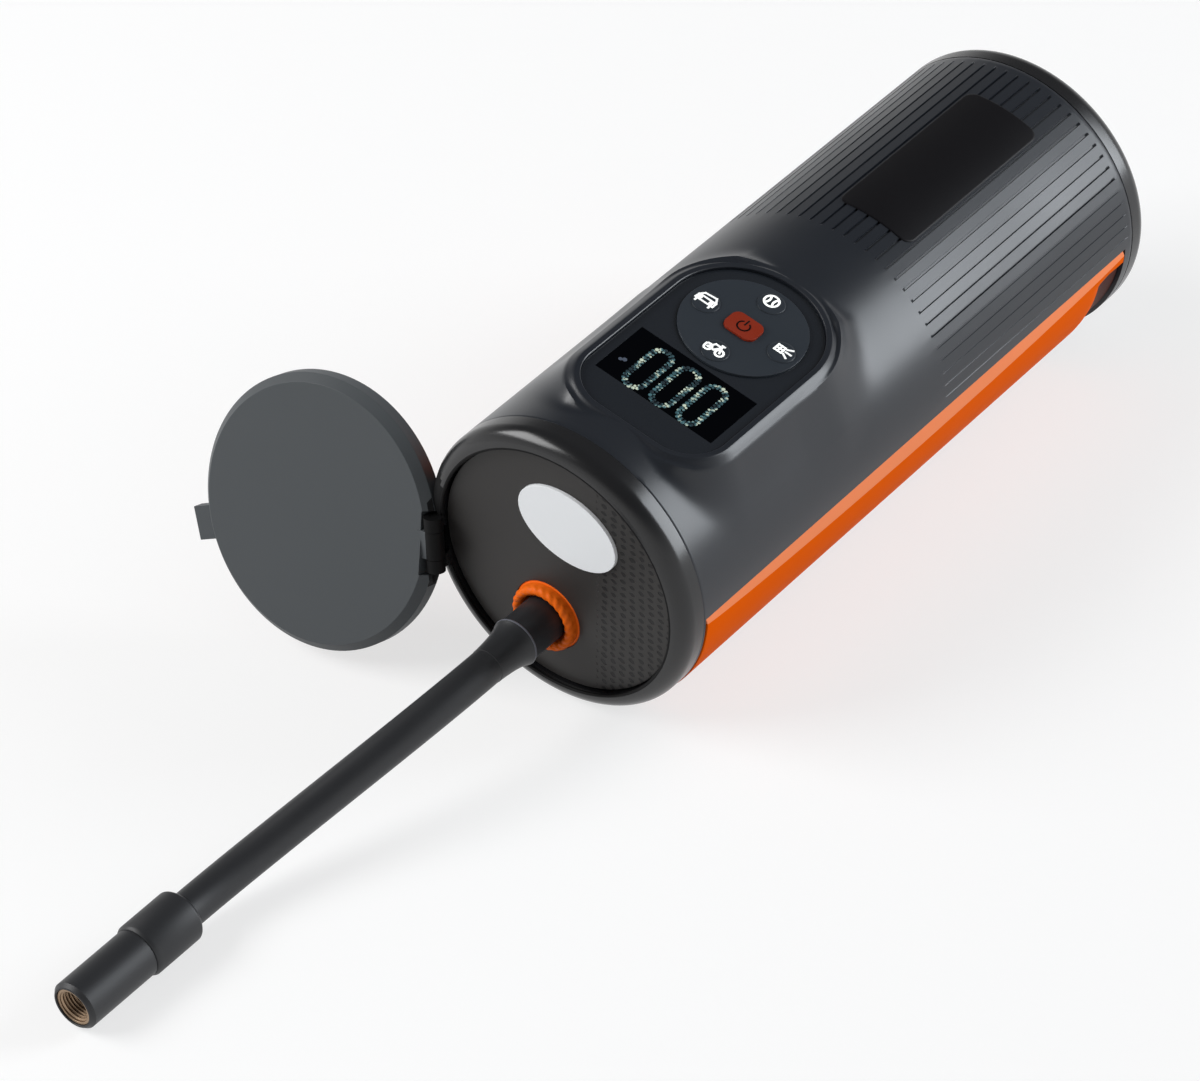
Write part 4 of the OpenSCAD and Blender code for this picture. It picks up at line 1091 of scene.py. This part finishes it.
def name_plate():
    """Bare plate: a thin rounded sheet that follows the grip's curve."""
    half_w, half_l, corner, cy = 10.2, 27.0, 2.6, 137.5
    outline = []
    for sx, sy, a0 in ((1, 1, 0), (-1, 1, 90), (-1, -1, 180), (1, -1, 270)):
        for a in np.linspace(a0, a0 + 90, 9):
            outline.append((sx * (half_w - corner) + corner * math.cos(math.radians(a)),
                            sy * (half_l - corner) + corner * math.sin(math.radians(a))))
    dense = []
    for (x0, y0), (x1, y1) in zip(outline, [*outline[1:], outline[0]]):
        pieces = max(1, round(math.hypot(x1 - x0, y1 - y0) / 0.8))
        dense += [(x0 + (x1 - x0) * k / pieces, y0 + (y1 - y0) * k / pieces) for k in range(pieces)]
    n = len(dense)
    flat = [Vector(p) for p in dense]
    edges = [(i, (i + 1) % n) for i in range(n)]
    for inset in (0.15, 0.4):
        start = len(flat)
        flat += [Vector(((half_w - inset) / half_w * x, (half_l - inset) / half_l * y))
                 for x, y in dense]
        edges += [(start + i, start + (i + 1) % n) for i in range(n)]
    for x in np.arange(-9, 9.1, 0.75):
        for y in np.linspace(-25.5, 25.5, 20):
            if max(abs(x) - 7.6, 0) ** 2 + max(abs(y) - 24.4, 0) ** 2 < 2.0:
                flat.append(Vector((x, y)))
    verts, _, tris, origins, _, _ = delaunay_2d_cdt(flat, edges, [], 1, 1e-5)
    top = []
    for v, origin in zip(verts, origins):
        drop = 0.1 if origin and origin[0] < n else 0
        turn = math.degrees(v.x / BODY_R)
        top.append(polar(turn, 36.24 - drop, cy + v.y))
    count = len(verts)
    low = [polar(math.degrees(v.x / BODY_R), 35.2, cy + v.y) for v in verts]
    faces = [tuple(t) for t in tris] + [tuple(count + i for i in reversed(t)) for t in tris]
    rim = {}
    for t in tris:
        for a, b in zip(t, [*t[1:], t[0]]):
            rim[(a, b)] = rim.get((a, b), 0) + 1
    for a, b in rim:
        if (b, a) not in rim:
            faces.append((b, a, count + a, count + b))
    return top + low, faces


build("bare_plate", *name_plate(), "tool", "badge", ["name_plate"], sharp=40)

# ---- inner parts ----

INNER = {
    "reflector": ["lamp_reflector"],
    "board": ["lamp_board", "control_board", "charge_board"],
    "white": ["lamp_leds", "drive_gear", "air_tube"],
    "alloy": ["outlet_block", "con_rod", "piston", "cylinder", "cylinder_head"],
    "rubber": ["chuck_washer", "piston_ring"],
    "brass": ["chuck_depressor", "pinion"],
    "holder": ["key_switches", "display_module", "cell_holder_front", "cell_holder_rear",
               "pump_frame"],
    "steel": ["rear_cap_screws", "charge_socket", "cell_links", "motor", "motor_shaft",
              "crank_shaft", "crank_wheel", "wrist_pin", "head_screws", "crank_bearings",
              "pressure_sensor"],
    "seal_and_shade": ["lid_pin"],
    "cell": ["battery_cells"],
}
for slot, names in INNER.items():
    for name in names:
        for material_slot in frame["nodes"][name].material_slots:
            material_slot.material = PAINT[slot]

# ---- studio ----


def studio_world():
    """A studio room: pale near the floor, dark overhead."""
    world = bpy.data.worlds.new("studio")
    bpy.context.scene.world = world
    world.use_nodes = True
    nodes, links = world.node_tree.nodes, world.node_tree.links
    place, axes = nodes.new("ShaderNodeTexCoord"), nodes.new("ShaderNodeSeparateXYZ")
    links.new(place.outputs["Generated"], axes.inputs[0])
    level = new_node(nodes, "ShaderNodeMapRange",
                     {"From Min": 0.0, "From Max": 0.6, "To Min": 0.92, "To Max": 0.13})
    level.interpolation_type = "SMOOTHSTEP"
    links.new(axes.outputs[2], level.inputs["Value"])
    links.new(level.outputs[0], nodes["Background"].inputs["Strength"])
    nodes["Background"].inputs["Color"].default_value = (1, 1, 1, 1)


def table():
    """Pale table that reads white to the camera and keeps a soft shadow."""
    mesh = bpy.data.meshes.new("table")
    mesh.from_pydata([(-3, -3, 0), (3, -3, 0), (3, 3, 0), (-3, 3, 0)], [], [(0, 1, 2, 3)])
    obj = add_object("table", mesh)
    material, nodes, links, shader = new_material("pale_table")
    set_inputs(shader, {"Base Color": srgb(158, 158, 158), "Roughness": 0.9,
                        "Specular IOR Level": 0.1, "Emission Color": (1, 1, 1, 1)})
    path = nodes.new("ShaderNodeLightPath")
    tree = material.node_tree
    seen = math_node(tree, "MAXIMUM", path.outputs["Is Camera Ray"],
                     path.outputs["Is Transmission Ray"])
    seen = math_node(tree, "MAXIMUM", seen, path.outputs["Is Glossy Ray"])
    lift = math_node(tree, "MULTIPLY", seen, 0.68)
    links.new(lift, shader.inputs["Emission Strength"])
    mesh.materials.append(material)


def softbox(name, spot, aim, size, energy, colour=(1, 1, 1)):
    data = bpy.data.lights.new(name, "AREA")
    data.shape, data.energy, data.color = "RECTANGLE", energy, colour
    data.size, data.size_y = size
    obj = add_object(name, data)
    spot, aim = Vector(spot), Vector(aim)
    turn = (spot - aim).to_track_quat("Z", "Y").to_matrix().to_4x4()
    obj.matrix_world = Matrix.Translation(spot) @ turn


studio_world()
table()
softbox("key_light", (-0.8, -0.62, 0.82), (0, -0.05, 0.03), (0.9, 0.55), 11.5)
softbox("side_light", (0.95, 0.83, 0.47), (0.0, 0.03, 0.05), (0.56, 0.95), 14, (0.9, 0.95, 1))
bpy.context.scene.view_settings.view_transform = "Standard"

cord_parts = [bpy.data.objects[n] for n in ("hose_neck", "dressed_chuck_collar",
                                            "dressed_chuck_sleeve", "dressed_chuck_insert",
                                            "bore_thread")]
cord_parts += [frame["nodes"][n] for n in ("chuck_washer", "chuck_depressor")]
